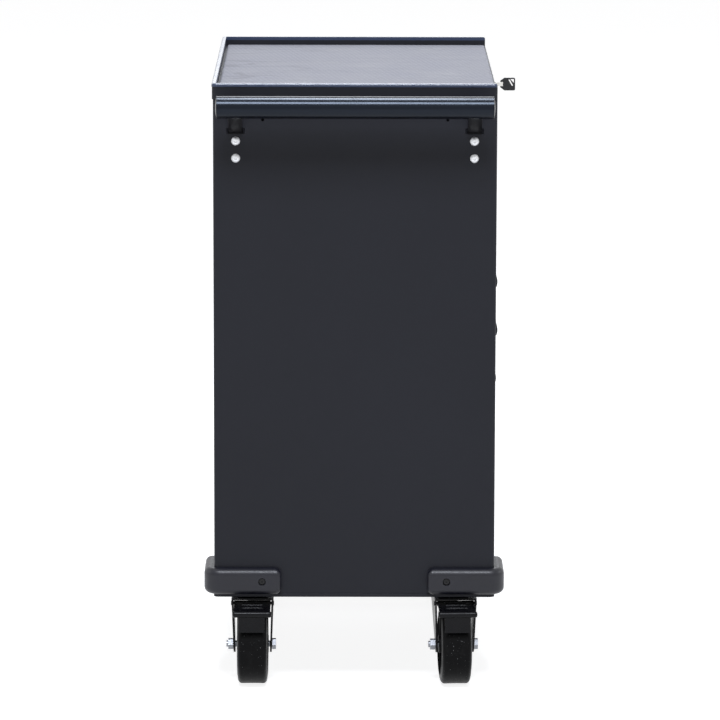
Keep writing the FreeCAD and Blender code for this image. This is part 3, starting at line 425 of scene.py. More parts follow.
@dataclass(frozen=True)
class DrawerCoat(PowderCoat):
    """The same coat on a drawer, with bright zinc on its runners, outside the tray's walls."""

    middle_x: float = 30.75 * MM
    tray_half: float = 287.4 * MM
    front_back_y: float = -187.5 * MM
    zinc: Colour = (0.40, 0.41, 0.43)

    def material(self) -> bpy.types.Material:
        """The coat with the runners masked out by their place."""
        wiring = Wiring(self.name)
        colour, rough, normal = self.paint(wiring)
        aside = wiring.step("ABSOLUTE", wiring.step("SUBTRACT", wiring.axis(0), self.middle_x))
        runner = wiring.times(wiring.step("GREATER_THAN", aside, self.tray_half),
                              wiring.step("GREATER_THAN", wiring.axis(1), self.front_back_y))
        streak = wiring.noise(20.0, detail=3.0, stretch=Run.ALONG_Y.value)
        rough = wiring.between(runner, rough, wiring.spread(streak, 0.26, 0.4))
        return wiring.dress(Base_Color=wiring.mixed(runner, colour, self.zinc), Metallic=runner,
                            Roughness=rough, Normal=normal, Specular_IOR_Level=self.specular)


@dataclass(frozen=True)
class RimCoat(PowderCoat):
    """The same coat on the top tray, polished to a gloss on the rim above a level height, with a
    painted bluish reflection in the rim's colour.
    """

    polished_above: float = 964.4 * MM
    polish_fade: float = 0.8 * MM
    # Painted bluish reflection of the lamps on the rim's top.
    rim_reflection_blue: Colour = (0.034, 0.05, 0.1)
    polish_rough: float = 0.24
    polish_coat: float = 0.6

    def material(self) -> bpy.types.Material:
        """The coat with the polished rim masked in by its height, the rim's colour a painted bluish
        reflection.
        """
        wiring = Wiring(self.name)
        colour, rough, normal = self.paint(wiring)
        rim = wiring.span(wiring.axis(2), self.polished_above,
                          self.polished_above + self.polish_fade)
        rub = wiring.spread(wiring.noise(26.0, detail=4.0), self.polish_rough - 0.05,
                            self.polish_rough + 0.08)
        # The rim's colour is a painted bluish reflection; its coat and roughness are real gloss.
        return wiring.dress(Base_Color=wiring.mixed(rim, colour, self.rim_reflection_blue),
                            Roughness=wiring.between(rim, rough, rub), Normal=normal,
                            Coat_Weight=wiring.times(rim, self.polish_coat), Coat_Roughness=0.2,
                            Specular_IOR_Level=self.specular)


@dataclass(frozen=True)
class SatinCoat:
    """Dipped black paint on steel fittings, smooth with shallow flow marks, and edges lightened as
    rubbed paint and as a painted edge highlight.
    """

    name: str
    colour: Colour
    rough: float
    specular: float
    wear: Wear = Wear.HANDLED
    edge_radius: float = 0.8 * MM
    flow_depth: float = 0.06 * MM

    def material(self) -> bpy.types.Material:
        """The paint as a material."""
        wiring = Wiring(self.name)
        cloud = wiring.noise(25.0, detail=4.0)
        # Lighter edges: partly rubbed paint, partly a painted edge highlight.
        edge = wiring.times(wiring.edges(self.edge_radius), wiring.spread(wiring.noise(160.0)))
        edge_wear_and_highlight = wiring.times(edge, self.wear.value)
        colour = wiring.mixed(wiring.spread(cloud), self.colour, scaled(self.colour, 1.5))
        colour = wiring.mixed(edge_wear_and_highlight, colour, scaled(self.colour, 4.0, 0.02))
        rough = wiring.spread(wiring.noise(60.0, detail=3.0), self.rough - 0.06, self.rough + 0.08)
        flow = wiring.relief(wiring.noise(120.0), self.flow_depth, 0.5,
                             wiring.rounded(self.edge_radius))
        return wiring.dress(Base_Color=colour, Roughness=rough, Normal=flow,
                            Specular_IOR_Level=self.specular)


@dataclass(frozen=True)
class GlossPaint:
    """Gloss black enamel on the handle, with faint drawn lines and finger marks."""

    name: str
    colour: Colour
    rough: float = 0.2
    specular: float = 0.27
    # Painted reflection colour: the gloss is tinted blue for the cool light it reflects.
    sheen_tint: Colour = (0.72, 0.84, 1.0)
    run: Run = Run.ALONG_Y
    edge_radius: float = 0.5 * MM
    wave_depth: float = 0.004 * MM

    def material(self) -> bpy.types.Material:
        """The enamel as a material."""
        wiring = Wiring(self.name)
        lines = wiring.noise(8.0, detail=3.0, stretch=self.run.value)
        marks = wiring.span(wiring.noise(30.0, detail=5.0), 0.55, 0.75)
        rough = wiring.step("ADD", wiring.spread(lines, self.rough - 0.02, self.rough + 0.02),
                            wiring.times(marks, 0.06))
        colour = wiring.mixed(wiring.span(lines, 0.35, 0.65), self.colour,
                              scaled(self.colour, 1.4))
        wave = wiring.relief(lines, self.wave_depth, 0.3, wiring.rounded(self.edge_radius))
        return wiring.dress(Base_Color=colour, Roughness=rough, Normal=wave,
                            Specular_IOR_Level=self.specular, Specular_Tint=self.sheen_tint)


@dataclass(frozen=True)
class MouldedPlastic:
    """Injection moulded plastic with a fine eroded grain and paler rubbed edges."""

    name: str
    colour: Colour
    rough: float
    specular: float
    grain_per_metre: float = 1500.0
    grain_depth: float = 0.04 * MM
    wear: Wear = Wear.LIGHT
    edge_radius: float = 1.0 * MM

    def material(self) -> bpy.types.Material:
        """The plastic as a material."""
        wiring = Wiring(self.name)
        grain = wiring.noise(self.grain_per_metre)
        cloud = wiring.noise(18.0, detail=3.0)
        edge = wiring.times(wiring.edges(self.edge_radius), self.wear.value)
        colour = wiring.mixed(wiring.spread(cloud), scaled(self.colour, 0.88),
                              scaled(self.colour, 1.14))
        colour = wiring.mixed(edge, colour, scaled(self.colour, 1.9, 0.006))
        rough = wiring.spread(wiring.noise(220.0, detail=3.0), self.rough - 0.05,
                              self.rough + 0.07)
        bump = wiring.relief(grain, self.grain_depth, 0.6, wiring.rounded(self.edge_radius))
        return wiring.dress(Base_Color=colour, Roughness=rough, Normal=bump,
                            Specular_IOR_Level=self.specular)


@dataclass(frozen=True)
class TreadRubber:
    """Vulcanised rubber, dull where it rolls and faintly dusty, with scuffs."""

    name: str
    colour: Colour
    dust: Colour = (0.014, 0.014, 0.014)
    speck: Colour = (0.25, 0.25, 0.25)
    specular: float = 0.08
    pore_depth: float = 0.07 * MM

    def material(self) -> bpy.types.Material:
        """The rubber as a material."""
        wiring = Wiring(self.name)
        scuff = wiring.span(wiring.noise(70.0, detail=6.0, roughness=0.62), 0.52, 0.72)
        colour = wiring.mixed(wiring.times(scuff, 0.5), self.colour, self.dust)
        colour = wiring.mixed(wiring.span(wiring.noise(420.0), 0.70, 0.76), colour, self.speck)
        rough = wiring.spread(wiring.noise(150.0, detail=4.0), 0.3, 0.46)
        pores = wiring.relief(wiring.noise(900.0, detail=3.0), self.pore_depth, 0.5)
        return wiring.dress(Base_Color=colour, Roughness=rough, Normal=pores,
                            Specular_IOR_Level=self.specular)


@dataclass(frozen=True)
class ZincPlate:
    """Bright zinc on pressed or turned steel, with crystal mottling and fine drawn lines."""

    name: str
    colour: Colour
    rough: float
    run: Run = Run.NONE
    black_above: float = 9.0
    black: Colour = (0.006, 0.006, 0.007)
    rubbed: Colour = (0.9, 0.9, 0.92)
    line_depth: float = 0.03 * MM

    def material(self) -> bpy.types.Material:
        """The plating as a material, with black oxide on what stands above a level height."""
        wiring = Wiring(self.name)
        spangle, tint = wiring.cells(420.0)
        drawn = wiring.noise(40.0, detail=3.0, stretch=self.run.value)
        colour = wiring.mixed(wiring.span(spangle, 0.1, 0.8, 0.0, 0.5), self.colour,
                              scaled(self.colour, 0.8))
        colour = wiring.mixed(wiring.times(wiring.edges(0.5 * MM), 0.6), colour, self.rubbed)
        rough = wiring.step("ADD", wiring.spread(drawn, self.rough - 0.05, self.rough + 0.08),
                            wiring.times(wiring.span(tint, 0.2, 0.8), 0.05))
        fine = wiring.relief(drawn, self.line_depth, 0.4, wiring.rounded(0.4 * MM))
        oxide = wiring.step("GREATER_THAN", wiring.axis(2), self.black_above)
        return wiring.dress(Base_Color=wiring.mixed(oxide, colour, self.black),
                            Metallic=wiring.step("SUBTRACT", 1.0, oxide), Roughness=rough,
                            Normal=fine, Specular_IOR_Level=0.3)


@dataclass(frozen=True)
class PolishedMetal:
    """Polished chrome or nickel with hairline scratches from use."""

    name: str
    colour: Colour
    rough: float = 0.1
    edge_radius: float = 0.3 * MM
    scratch_depth: float = 0.01 * MM

    def material(self) -> bpy.types.Material:
        """The metal as a material."""
        wiring = Wiring(self.name)
        hair = wiring.noise(300.0, detail=4.0, stretch=(1.0, 9.0, 4.0))
        smear = wiring.noise(90.0, detail=3.0)
        colour = wiring.mixed(wiring.span(smear, 0.4, 0.7), self.colour,
                              scaled(self.colour, 0.86))
        rough = wiring.step("ADD", wiring.span(smear, 0.35, 0.7, self.rough, self.rough + 0.1),
                            wiring.span(hair, 0.6, 0.8, 0.0, 0.12))
        fine = wiring.relief(hair, self.scratch_depth, 0.3, wiring.rounded(self.edge_radius))
        return wiring.dress(Base_Color=colour, Metallic=1.0, Roughness=rough, Normal=fine)


@dataclass(frozen=True)
class Anodised:
    """Aluminium strip, brushed along its length and anodised black."""

    name: str
    colour: Colour
    run: Run = Run.ALONG_X
    bare: Colour = (0.16, 0.16, 0.17)
    line_depth: float = 0.03 * MM

    def material(self) -> bpy.types.Material:
        """The strip's finish as a material."""
        wiring = Wiring(self.name)
        brushed = wiring.noise(30.0, detail=3.0, stretch=self.run.value)
        cloud = wiring.noise(12.0)
        edge = wiring.times(wiring.edges(0.6 * MM), wiring.span(wiring.noise(140.0), 0.4, 0.8))
        colour = wiring.mixed(wiring.spread(brushed), self.colour, scaled(self.colour, 1.7))
        colour = wiring.mixed(wiring.times(edge, 0.4), colour, self.bare)
        rough = wiring.step("ADD", wiring.spread(brushed, 0.26, 0.42),
                            wiring.spread(cloud, 0.0, 0.06))
        lines = wiring.relief(brushed, self.line_depth, 0.5, wiring.rounded(0.5 * MM))
        return wiring.dress(Base_Color=colour, Metallic=0.75, Roughness=rough, Normal=lines,
                            Specular_IOR_Level=0.4)


@dataclass(frozen=True)
class LinerFoam:
    """Soft grey liner with a fine crossed emboss, folds and a slight smear, and painted shade in the
    emboss's grooves and along the folds towards its back.
    """

    name: str
    colour: Colour
    stripes_per_metre: float = 125.0
    stripe_turns: tuple[float, float] = (79.0, 101.0)
    emboss_depth: float = 0.3 * MM
    fibre_depth: float = 0.08 * MM
    fold_depth: float = 8.4 * MM
    # Width and back-to-front fade of the painted shade along the folds.
    crease_shade_half: float = 0.035
    crease_shade_start: float = 20 * MM
    crease_shade_full: float = 210 * MM

    def emboss(self, wiring: Wiring) -> Socket:
        """Two sets of stripes that cross, from 0 in their grooves to 1 on their ridges.

        Args:
            wiring: The material's nodes.

        Returns:
            The pattern.
        """
        heights = []
        for turn in self.stripe_turns:
            wave = wiring.add("ShaderNodeTexWave", wave_type="BANDS", bands_direction="X",
                              wave_profile="SIN")
            wiring.feed(wave, "Vector", wiring.stretched(SAME, turn))
            # At a scale of 1 the node has a stripe for each tenth of pi metres.
            wiring.feed(wave, "Scale", self.stripes_per_metre / 10 * math.pi)
            wiring.feed(wave, "Distortion", 1.2)
            wiring.feed(wave, "Detail", 2.0)
            heights.append(wave.outputs["Fac"])
        return wiring.times(heights[0], wiring.step("ADD", 0.6, wiring.times(heights[1], 0.4)))

    def material(self) -> bpy.types.Material:
        """The liner as a material."""
        wiring = Wiring(self.name)
        emboss = self.emboss(wiring)
        smear = wiring.noise(7.0, detail=4.0, stretch=(1.0, 2.2, 1.0))
        fibre = wiring.noise(260.0, detail=3.0)
        fold = wiring.noise(9.0, detail=3.0, stretch=(1.6, 0.7, 1.0))
        # Painted shade: dark lines along the folds, faint at the front and full towards the back.
        off_crease = wiring.step("ABSOLUTE", wiring.step("SUBTRACT", fold, 0.5))
        crease_shade = wiring.times(wiring.span(off_crease, 0.0, self.crease_shade_half, 1.0, 0.0),
                                wiring.span(wiring.axis(1), self.crease_shade_start,
                                            self.crease_shade_full, 0.06, 1.0))
        colour = wiring.mixed(wiring.spread(smear), scaled(self.colour, 0.88),
                              scaled(self.colour, 1.1))
        # Painted shade in the emboss's grooves: the grooves are darker than the ridges.
        colour = wiring.mixed(wiring.span(emboss, 0.0, 1.0, 0.35, 0.0), colour,
                              scaled(self.colour, 0.6))
        colour = wiring.mixed(wiring.span(fibre, 0.35, 0.65, 0.0, 0.3), colour,
                              scaled(self.colour, 0.75))
        # Painted shade along the folds.
        colour = wiring.mixed(wiring.times(crease_shade, 0.6), colour, scaled(self.colour, 0.5))
        fuzz = wiring.relief(fibre, self.fibre_depth, 0.6)
        embossed = wiring.relief(emboss, self.emboss_depth, 0.7, fuzz)
        folded = wiring.relief(fold, self.fold_depth, 0.5, embossed)
        return wiring.dress(Base_Color=colour, Roughness=wiring.spread(smear, 0.6, 0.75),
                            Normal=folded, Specular_IOR_Level=0.25, Sheen_Weight=0.08,
                            Sheen_Roughness=0.5)


def outward(piece: bpy.types.Object) -> None:
    """Turns all faces of a closed piece outwards.

    Args:
        piece: The piece. Its signed volume is the sum over triangles of the triple product over
            six, and its faces are turned over where that is negative.
    """
    mesh = piece.data
    mesh.calc_loop_triangles()
    corners = np.empty(3 * len(mesh.loop_triangles), dtype=np.int64)
    mesh.loop_triangles.foreach_get("vertices", corners)
    places = np.empty(3 * len(mesh.vertices))
    mesh.vertices.foreach_get("co", places)
    a, b, c = np.moveaxis(places.reshape(-1, 3)[corners.reshape(-1, 3)], 1, 0)
    volume = np.einsum("ij,ij->i", a, np.cross(b, c)).sum() / 6
    if volume < 0:
        mesh.flip_normals()


def closed_piece(name: str, points: np.ndarray, faces: np.ndarray) -> bpy.types.Object:
    """Smooth shaded closed piece with its faces outward, at the origin.

    Args:
        name: Name of the piece.
        points: Its points in metres, one to a row.
        faces: Numbers of the points round each face, one face to a row.

    Returns:
        The piece.
    """
    mesh = bpy.data.meshes.new(name)
    mesh.from_pydata(points.tolist(), [], faces.tolist())
    mesh.update()
    mesh.polygons.foreach_set("use_smooth", np.ones(len(mesh.polygons), dtype=bool))
    piece = bpy.data.objects.new(name, mesh)
    bpy.context.scene.collection.objects.link(piece)
    outward(piece)
    return piece


def ring_piece(name: str, points: np.ndarray) -> bpy.types.Object:
    """Piece whose points lie on a grid that closes on itself both ways, four to a face.

    Args:
        name: Name of the piece.
        points: Rows of points, as an array of rows, columns and three coordinates in metres.

    Returns:
        The piece.
    """
    rows, columns = points.shape[:2]
    row, column = np.meshgrid(np.arange(rows), np.arange(columns), indexing="ij")
    next_row = (row + 1) % rows
    next_column = (column + 1) % columns
    faces = np.stack([row * columns + column, row * columns + next_column,
                      next_row * columns + next_column, next_row * columns + column], axis=-1)
    return closed_piece(name, points.reshape(-1, 3), faces.reshape(-1, 4))


def slab_piece(name: str, top: np.ndarray, bottom: np.ndarray) -> bpy.types.Object:
    """Piece between a top and a bottom grid of the same size, joined round their rim.

    Args:
        name: Name of the piece.
        top: Grid of the upper face.
        bottom: Grid of the lower face.

    Returns:
        The piece.
    """
    rows, columns = top.shape[:2]
    count = rows * columns
    number = np.arange(count).reshape(rows, columns)
    faces_up = np.stack([number[:-1, :-1], number[1:, :-1], number[1:, 1:], number[:-1, 1:]],
                        axis=-1)
    faces_down = faces_up[..., ::-1] + count
    rim = np.concatenate([number[:, 0], number[-1, 1:], number[-2::-1, -1], number[0, -2:0:-1]])
    following = np.roll(rim, -1)
    wall = np.stack([rim, rim + count, following + count, following], axis=-1)
    faces = np.concatenate([faces_up.reshape(-1, 4), faces_down.reshape(-1, 4), wall])
    return closed_piece(name, np.concatenate([top.reshape(-1, 3), bottom.reshape(-1, 3)]), faces)


def finish_node(name: str, material: bpy.types.Material) -> None:
    """Gives a carried over piece its finish.

    Args:
        name: Name of the piece.
        material: The finish.
    """
    piece = frame["nodes"][name]
    if not piece.material_slots:
        piece.data.materials.append(material)
    for slot in piece.material_slots:
        slot.material = material
    report.info("%s has the finish %s", name, material.name)


@dataclass
class CabinetBody:
    """Side and back panels, base pan, rails, tray with its rim, and the slides' fixed parts."""

    coat: PowderCoat = PowderCoat("body powder coat", linear(30, 31, 37))
    rim_coat: RimCoat = RimCoat("tray powder coat", linear(28, 29, 35))
    zinc: ZincPlate = ZincPlate("slide zinc", (0.40, 0.41, 0.43), rough=0.38, run=Run.ALONG_Y)
    painted: tuple[str, ...] = ("left_side_panel", "right_side_panel", "back_panel", "base_pan",
                                "front_rails", "slide_uprights")

    def build(self) -> None:
        """Dresses the sheet metal of the body and the slides' fixed members."""
        paint = self.coat.material()
        zinc = self.zinc.material()
        for name in self.painted:
            finish_node(name, paint)
        finish_node("top_tray", self.rim_coat.material())
        finish_node("slide_channels", zinc)


@dataclass(frozen=True)
class Ridge:
    """One low wrinkle of the mat, on a slightly bowed line."""

    share_x: float
    share_y: float
    turn: float
    length: float
    size: float
    half_width: float = 7 * MM
    bow: float = 0.15

    def height(self, x: np.ndarray, y: np.ndarray, low: Vector, high: Vector) -> np.ndarray:
        """Height of the wrinkle, which fades away along and across its line.

        Args:
            x: Places across the mat, in metres.
            y: Places from its front to its back, in metres.
            low: Lowest corner of the mat.
            high: Highest corner of the mat.

        Returns:
            Height as a share of the largest wrinkle's.
        """
        dx = x - (low.x + self.share_x * (high.x - low.x))
        dy = y - (low.y + self.share_y * (high.y - low.y))
        turn = math.radians(self.turn)
        along = dx * math.cos(turn) + dy * math.sin(turn)
        aside = dy * math.cos(turn) - dx * math.sin(turn) + self.bow * along ** 2 / self.length
        lengthwise = np.exp(-(along / self.length * 2) ** 2)
        return self.size * lengthwise * np.exp(-(aside / self.half_width) ** 2)


@dataclass
class TopMat:
    """Liner laid in the top tray: a thin slab with soft edges and a few low wrinkles."""

    foam: LinerFoam = LinerFoam("liner foam", linear(138, 138, 145))
    ridges: tuple[Ridge, ...] = (
        Ridge(0.16, 0.80, turn=62, length=0.14, size=0.9),
        Ridge(0.30, 0.86, turn=48, length=0.18, size=0.6),
        Ridge(0.12, 0.93, turn=30, length=0.10, size=1.0),
        Ridge(0.55, 0.90, turn=70, length=0.16, size=0.4),
        Ridge(0.42, 0.55, turn=55, length=0.20, size=0.35),
        Ridge(0.75, 0.28, turn=40, length=0.22, size=0.3),
    )
    edge_radius: float = 1.5 * MM
    flat_border: float = 20 * MM
    across: int = 300
    along: int = 200
    even_share: float = 0.75
    wrinkle_height: float = 1.1 * MM
    wrinkle_room: float = 0.9
    rolling: float = 0.18

    def swell(self, x: np.ndarray, y: np.ndarray, low: Vector, high: Vector) -> np.ndarray:
        """Height of the wrinkles and of the low waves between them.

        Args:
            x: Places across the mat, in metres.
            y: Places from its front to its back, in metres.
            low: Lowest corner of the mat.
            high: Highest corner of the mat.

        Returns:
            Height above the flat mat, in metres.
        """
        height = np.zeros_like(x)
        for ridge in self.ridges:
            height += ridge.height(x, y, low, high)
        waves = np.sin(x * 23 + 4 * np.sin(y * 9)) * np.cos(y * 31 + 2 * np.sin(x * 7))
        return self.wrinkle_height * (height + self.rolling * waves + self.rolling)

    def spacing(self, count: int) -> np.ndarray:
        """Numbers from 0 to 1, a little closer together near both ends.

        Args:
            count: How many numbers.

        Returns:
            The numbers.
        """
        crowded = 0.5 - 0.5 * np.cos(np.linspace(0, math.pi, count))
        return self.even_share * np.linspace(0, 1, count) + (1 - self.even_share) * crowded

    def build(self) -> None:
        """Makes the mat, whose outline is a rectangle.

        The slab's top is a grid over the outline, which rolls down by a quarter circle at its
        rim, and the same grid, flat, closes it below.
        """
        low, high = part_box("top_mat")
        u = self.spacing(self.across)
        v = self.spacing(self.along)
        x, y = np.meshgrid(low.x + u * (high.x - low.x), low.y + v * (high.y - low.y),
                           indexing="ij")
        edge = np.minimum(np.minimum(x - low.x, high.x - x), np.minimum(y - low.y, high.y - y))
        roll = np.clip(1 - edge / self.edge_radius, 0, 1)
        drop = self.edge_radius * (1 - np.sqrt(1 - roll ** 2))
        fade = np.clip(edge / self.flat_border, 0, 1)
        thickness = high.z - low.z - self.wrinkle_height * self.wrinkle_room
        top_z = low.z + thickness - drop + fade * self.swell(x, y, low, high)
        top = np.stack([x, y, top_z], axis=-1)
        bottom = np.stack([x, y, np.full_like(x, low.z)], axis=-1)
        piece = slab_piece("liner_mat", top, bottom)
        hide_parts("top_mat")
        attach(piece, "cabinet")
        piece.data.materials.append(self.foam.material())
        report.info("%s has %d faces", piece.name, len(piece.data.polygons))


@dataclass
class PushHandle:
    """Tube, end caps, brackets and their bolts."""

    enamel: GlossPaint = GlossPaint("handle gloss enamel", linear(9, 11, 20))
    cap: MouldedPlastic = MouldedPlastic("end cap plastic", linear(20, 20, 23), rough=0.3,
                                         specular=0.45, grain_per_metre=900.0,
                                         grain_depth=0.01 * MM)
    bracket: SatinCoat = SatinCoat("bracket satin black", linear(15, 15, 18), rough=0.36,
                                   specular=0.2)

    def build(self) -> None:
        """Dresses the handle's pieces."""
        finish_node("handle_tube", self.enamel.material())
        finish_node("handle_end_caps", self.cap.material())
        finish_node("handle_brackets", self.bracket.material())


@dataclass
class Fasteners:
    """Bright bolts, nuts, axles and studs all over the cabinet."""

    zinc: ZincPlate = ZincPlate("bright zinc", (0.84, 0.85, 0.87), rough=0.5)
    names: tuple[str, ...] = ("handle_bolts", "caster_bolts", "fixed_caster_axles",
                              "lock_bar_studs")

    def build(self) -> None:
        """Dresses the fasteners."""
        zinc = self.zinc.material()
        for name in self.names:
            finish_node(name, zinc)


@dataclass
class CornerBumpers:
    """Moulded corner guards and the screws in their pockets."""

    # The blue in this base colour is a painted bluish reflection; the moulding's own colour is near
    # black.
    plastic: MouldedPlastic = MouldedPlastic("bumper plastic", linear(9, 10, 22), rough=0.4,
                                             specular=0.44, grain_per_metre=1100.0,
                                             grain_depth=0.015 * MM)
    oxide: SatinCoat = SatinCoat("screw black oxide", linear(12, 12, 14), rough=0.4, specular=0.3)

    def build(self) -> None:
        """Dresses the bumpers and their screws."""
        finish_node("corner_bumpers", self.plastic.material())
        finish_node("bumper_screws", self.oxide.material())


@dataclass
class DrawerStack:
    """The drawers, their pulls and the slides' middle members."""

    count: int = 7
    coat: DrawerCoat = DrawerCoat("drawer powder coat", linear(30, 31, 37))
    strip: Anodised = Anodised("pull anodised black", linear(28, 29, 33))
    zinc: ZincPlate = ZincPlate("slide middle zinc", (0.42, 0.43, 0.45), rough=0.34,
                                run=Run.ALONG_Y)

    def build(self) -> None:
        """Dresses each drawer, its pull and its pair of middle members."""
        paint = self.coat.material()
        strip = self.strip.material()
        zinc = self.zinc.material()
        for number in range(1, self.count + 1):
            finish_node(f"drawer_{number}", paint)
            finish_node(f"drawer_pull_{number}", strip)
            finish_node(f"slide_middles_{number}", zinc)


@dataclass
class LockSet:
    """Lock barrel, plug, key and the bar behind the drawers."""

    chrome: PolishedMetal = PolishedMetal("lock chrome", (0.75, 0.75, 0.77))
    nickel: PolishedMetal = PolishedMetal("key nickel", (0.78, 0.77, 0.74), rough=0.16)
    grip: MouldedPlastic = MouldedPlastic("key grip plastic", linear(30, 30, 32), rough=0.4,
                                          specular=0.45)
    zinc: ZincPlate = ZincPlate("lock bar zinc", (0.46, 0.46, 0.47), rough=0.36)

    def build(self) -> None:
        """Dresses the lock's pieces."""
        chrome = self.chrome.material()
        finish_node("lock_cylinder", chrome)
        finish_node("lock_plug", chrome)
        finish_node("key_blade", self.nickel.material())
        finish_node("key_head", self.grip.material())
        finish_node("lock_bar", self.zinc.material())


@dataclass
class Casters:
    """Forks, plates, pedals, wheels and the turned tyres."""

    steel: SatinCoat = SatinCoat("caster satin black", linear(8, 8, 11), rough=0.26,
                                 specular=0.15)
    wheel: MouldedPlastic = MouldedPlastic("wheel plastic", linear(14, 14, 16), rough=0.42,
                                           specular=0.16)
    rubber: TreadRubber = TreadRubber("tyre rubber", linear(11, 11, 12))
    bolt: ZincPlate = ZincPlate("axle bright zinc", (0.28, 0.29, 0.31), rough=0.34,
                                black_above=110 * MM)
    radius: float = 63.5 * MM
    depth: float = 13.5 * MM
    tread_half: float = 17.0 * MM
    side_half: float = 23.7 * MM
    seat_half: float = 24.5 * MM
    shoulder_drop: float = 8.5 * MM
    groove_depth: float = 0.5 * MM
    # The low moulding line in the middle of the tread: places on the axle and depths there.
    line_places: tuple[float, ...] = (0.0, 0.5 * MM, 1.0 * MM, 2.0 * MM)
    line_depths: tuple[float, ...] = (0.02 * MM, 0.06 * MM, 0.25 * MM, 0.25 * MM)
    shoulder_points: int = 9
    wall_points: int = 12
    turns: int = 160

    def profile(self) -> np.ndarray:
        """Section of the tyre, as radius and place along the axle.

        The tread is flat with a low moulding line in its middle, each shoulder is a quarter of
        an ellipse, each side wall slopes out to the seat with a shallow groove in it, and the
        seat closes the section.

        Returns:
            The closed section's points.
        """
        low = self.radius - self.shoulder_drop
        seat = self.radius - self.depth
        line = np.stack([self.radius - np.array(self.line_depths), np.array(self.line_places)],
                        axis=-1)
        turn = np.radians(np.linspace(90, 0, self.shoulder_points))
        run = self.side_half - self.tread_half
        shoulder = np.stack([low + self.shoulder_drop * np.sin(turn),
                             self.tread_half + run * np.cos(turn)], axis=-1)
        share = np.linspace(0, 1, self.wall_points)[1:-1]
        groove = self.groove_depth * np.sin(share * math.pi) ** 6
        slope = self.side_half + share * (self.seat_half - self.side_half)
        wall = np.stack([low + share * (seat - low), slope - groove], axis=-1)
        seat_row = np.array([[seat, self.seat_half], [seat, 0.0]])
        half = np.concatenate([line, shoulder, wall, seat_row])
        other = half[1:-1][::-1] * np.array([1, -1])
        return np.concatenate([half, other])

    def tyre(self, corner: Corner, material: bpy.types.Material) -> None:
        """Makes one tyre: the section turned about the wheel's own axle.

        Args:
            corner: The caster that carries it.
            material: Its finish.
        """
        joint = next(j for j in frame["joints"] if j["name"] == f"{corner.value}_wheel")
        axle = np.array(joint["axis"], dtype=float)
        axle /= np.linalg.norm(axle)
        across = np.cross(axle, (0, 0, 1))
        across /= np.linalg.norm(across)
        section = self.profile()
        angles = np.linspace(0, 2 * math.pi, self.turns, endpoint=False)[:, None, None]
        spoke = np.cos(angles) * across + np.sin(angles) * np.array([0, 0, 1.0])
        points = (np.array(joint["pos_m"]) + section[None, :, :1] * spoke
                  + section[None, :, 1:] * axle)
        piece = ring_piece(f"tread_{corner.value}", points)
        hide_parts(f"tyre_{corner.value}")
        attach(piece, f"wheel_{corner.value}")
        piece.data.materials.append(material)
        report.info("%s has %d faces", piece.name, len(piece.data.polygons))

    def build(self) -> None:
        """Dresses the casters' metal and makes the tyres."""
        steel = self.steel.material()
        wheel = self.wheel.material()
        rubber = self.rubber.material()
        bolt = self.bolt.material()
        for name in ("swivel_plates", "fixed_caster_frames"):
            finish_node(name, steel)
        for corner in Corner:
            finish_node(f"wheel_{corner.value}", wheel)
            self.tyre(corner, rubber)
            if f"fork_{corner.value}" in frame["nodes"]:
                finish_node(f"fork_{corner.value}", steel)
                finish_node(f"brake_pedal_{corner.value}", steel)
                finish_node(f"fork_pins_{corner.value}", bolt)


@dataclass(frozen=True)
class Softbox:
    """A flat lamp that faces the cabinet."""

    name: str
    centre: Point
    target: Point = (0.0, 0.0, 0.5)
    width: float = 2.4
    length: float = 1.6
    radiance: float = 1.6
    tint: Colour = (0.9, 0.94, 1.0)

    def build(self) -> None:
        """Adds the lamp: its width lies level, and its power is 4 x its area x its radiance."""
        lamp = bpy.data.lights.new(self.name, "AREA")
        lamp.shape = "RECTANGLE"
        lamp.size = self.width
        lamp.size_y = self.length
        lamp.energy = 4 * self.width * self.length * self.radiance
        lamp.color = self.tint
        holder = bpy.data.objects.new(self.name, lamp)
        aim = Vector(self.target) - Vector(self.centre)
        holder.location = self.centre
        holder.rotation_euler = aim.to_track_quat("-Z", "Y").to_euler()
        holder.visible_camera = False
        bpy.context.scene.collection.objects.link(holder)


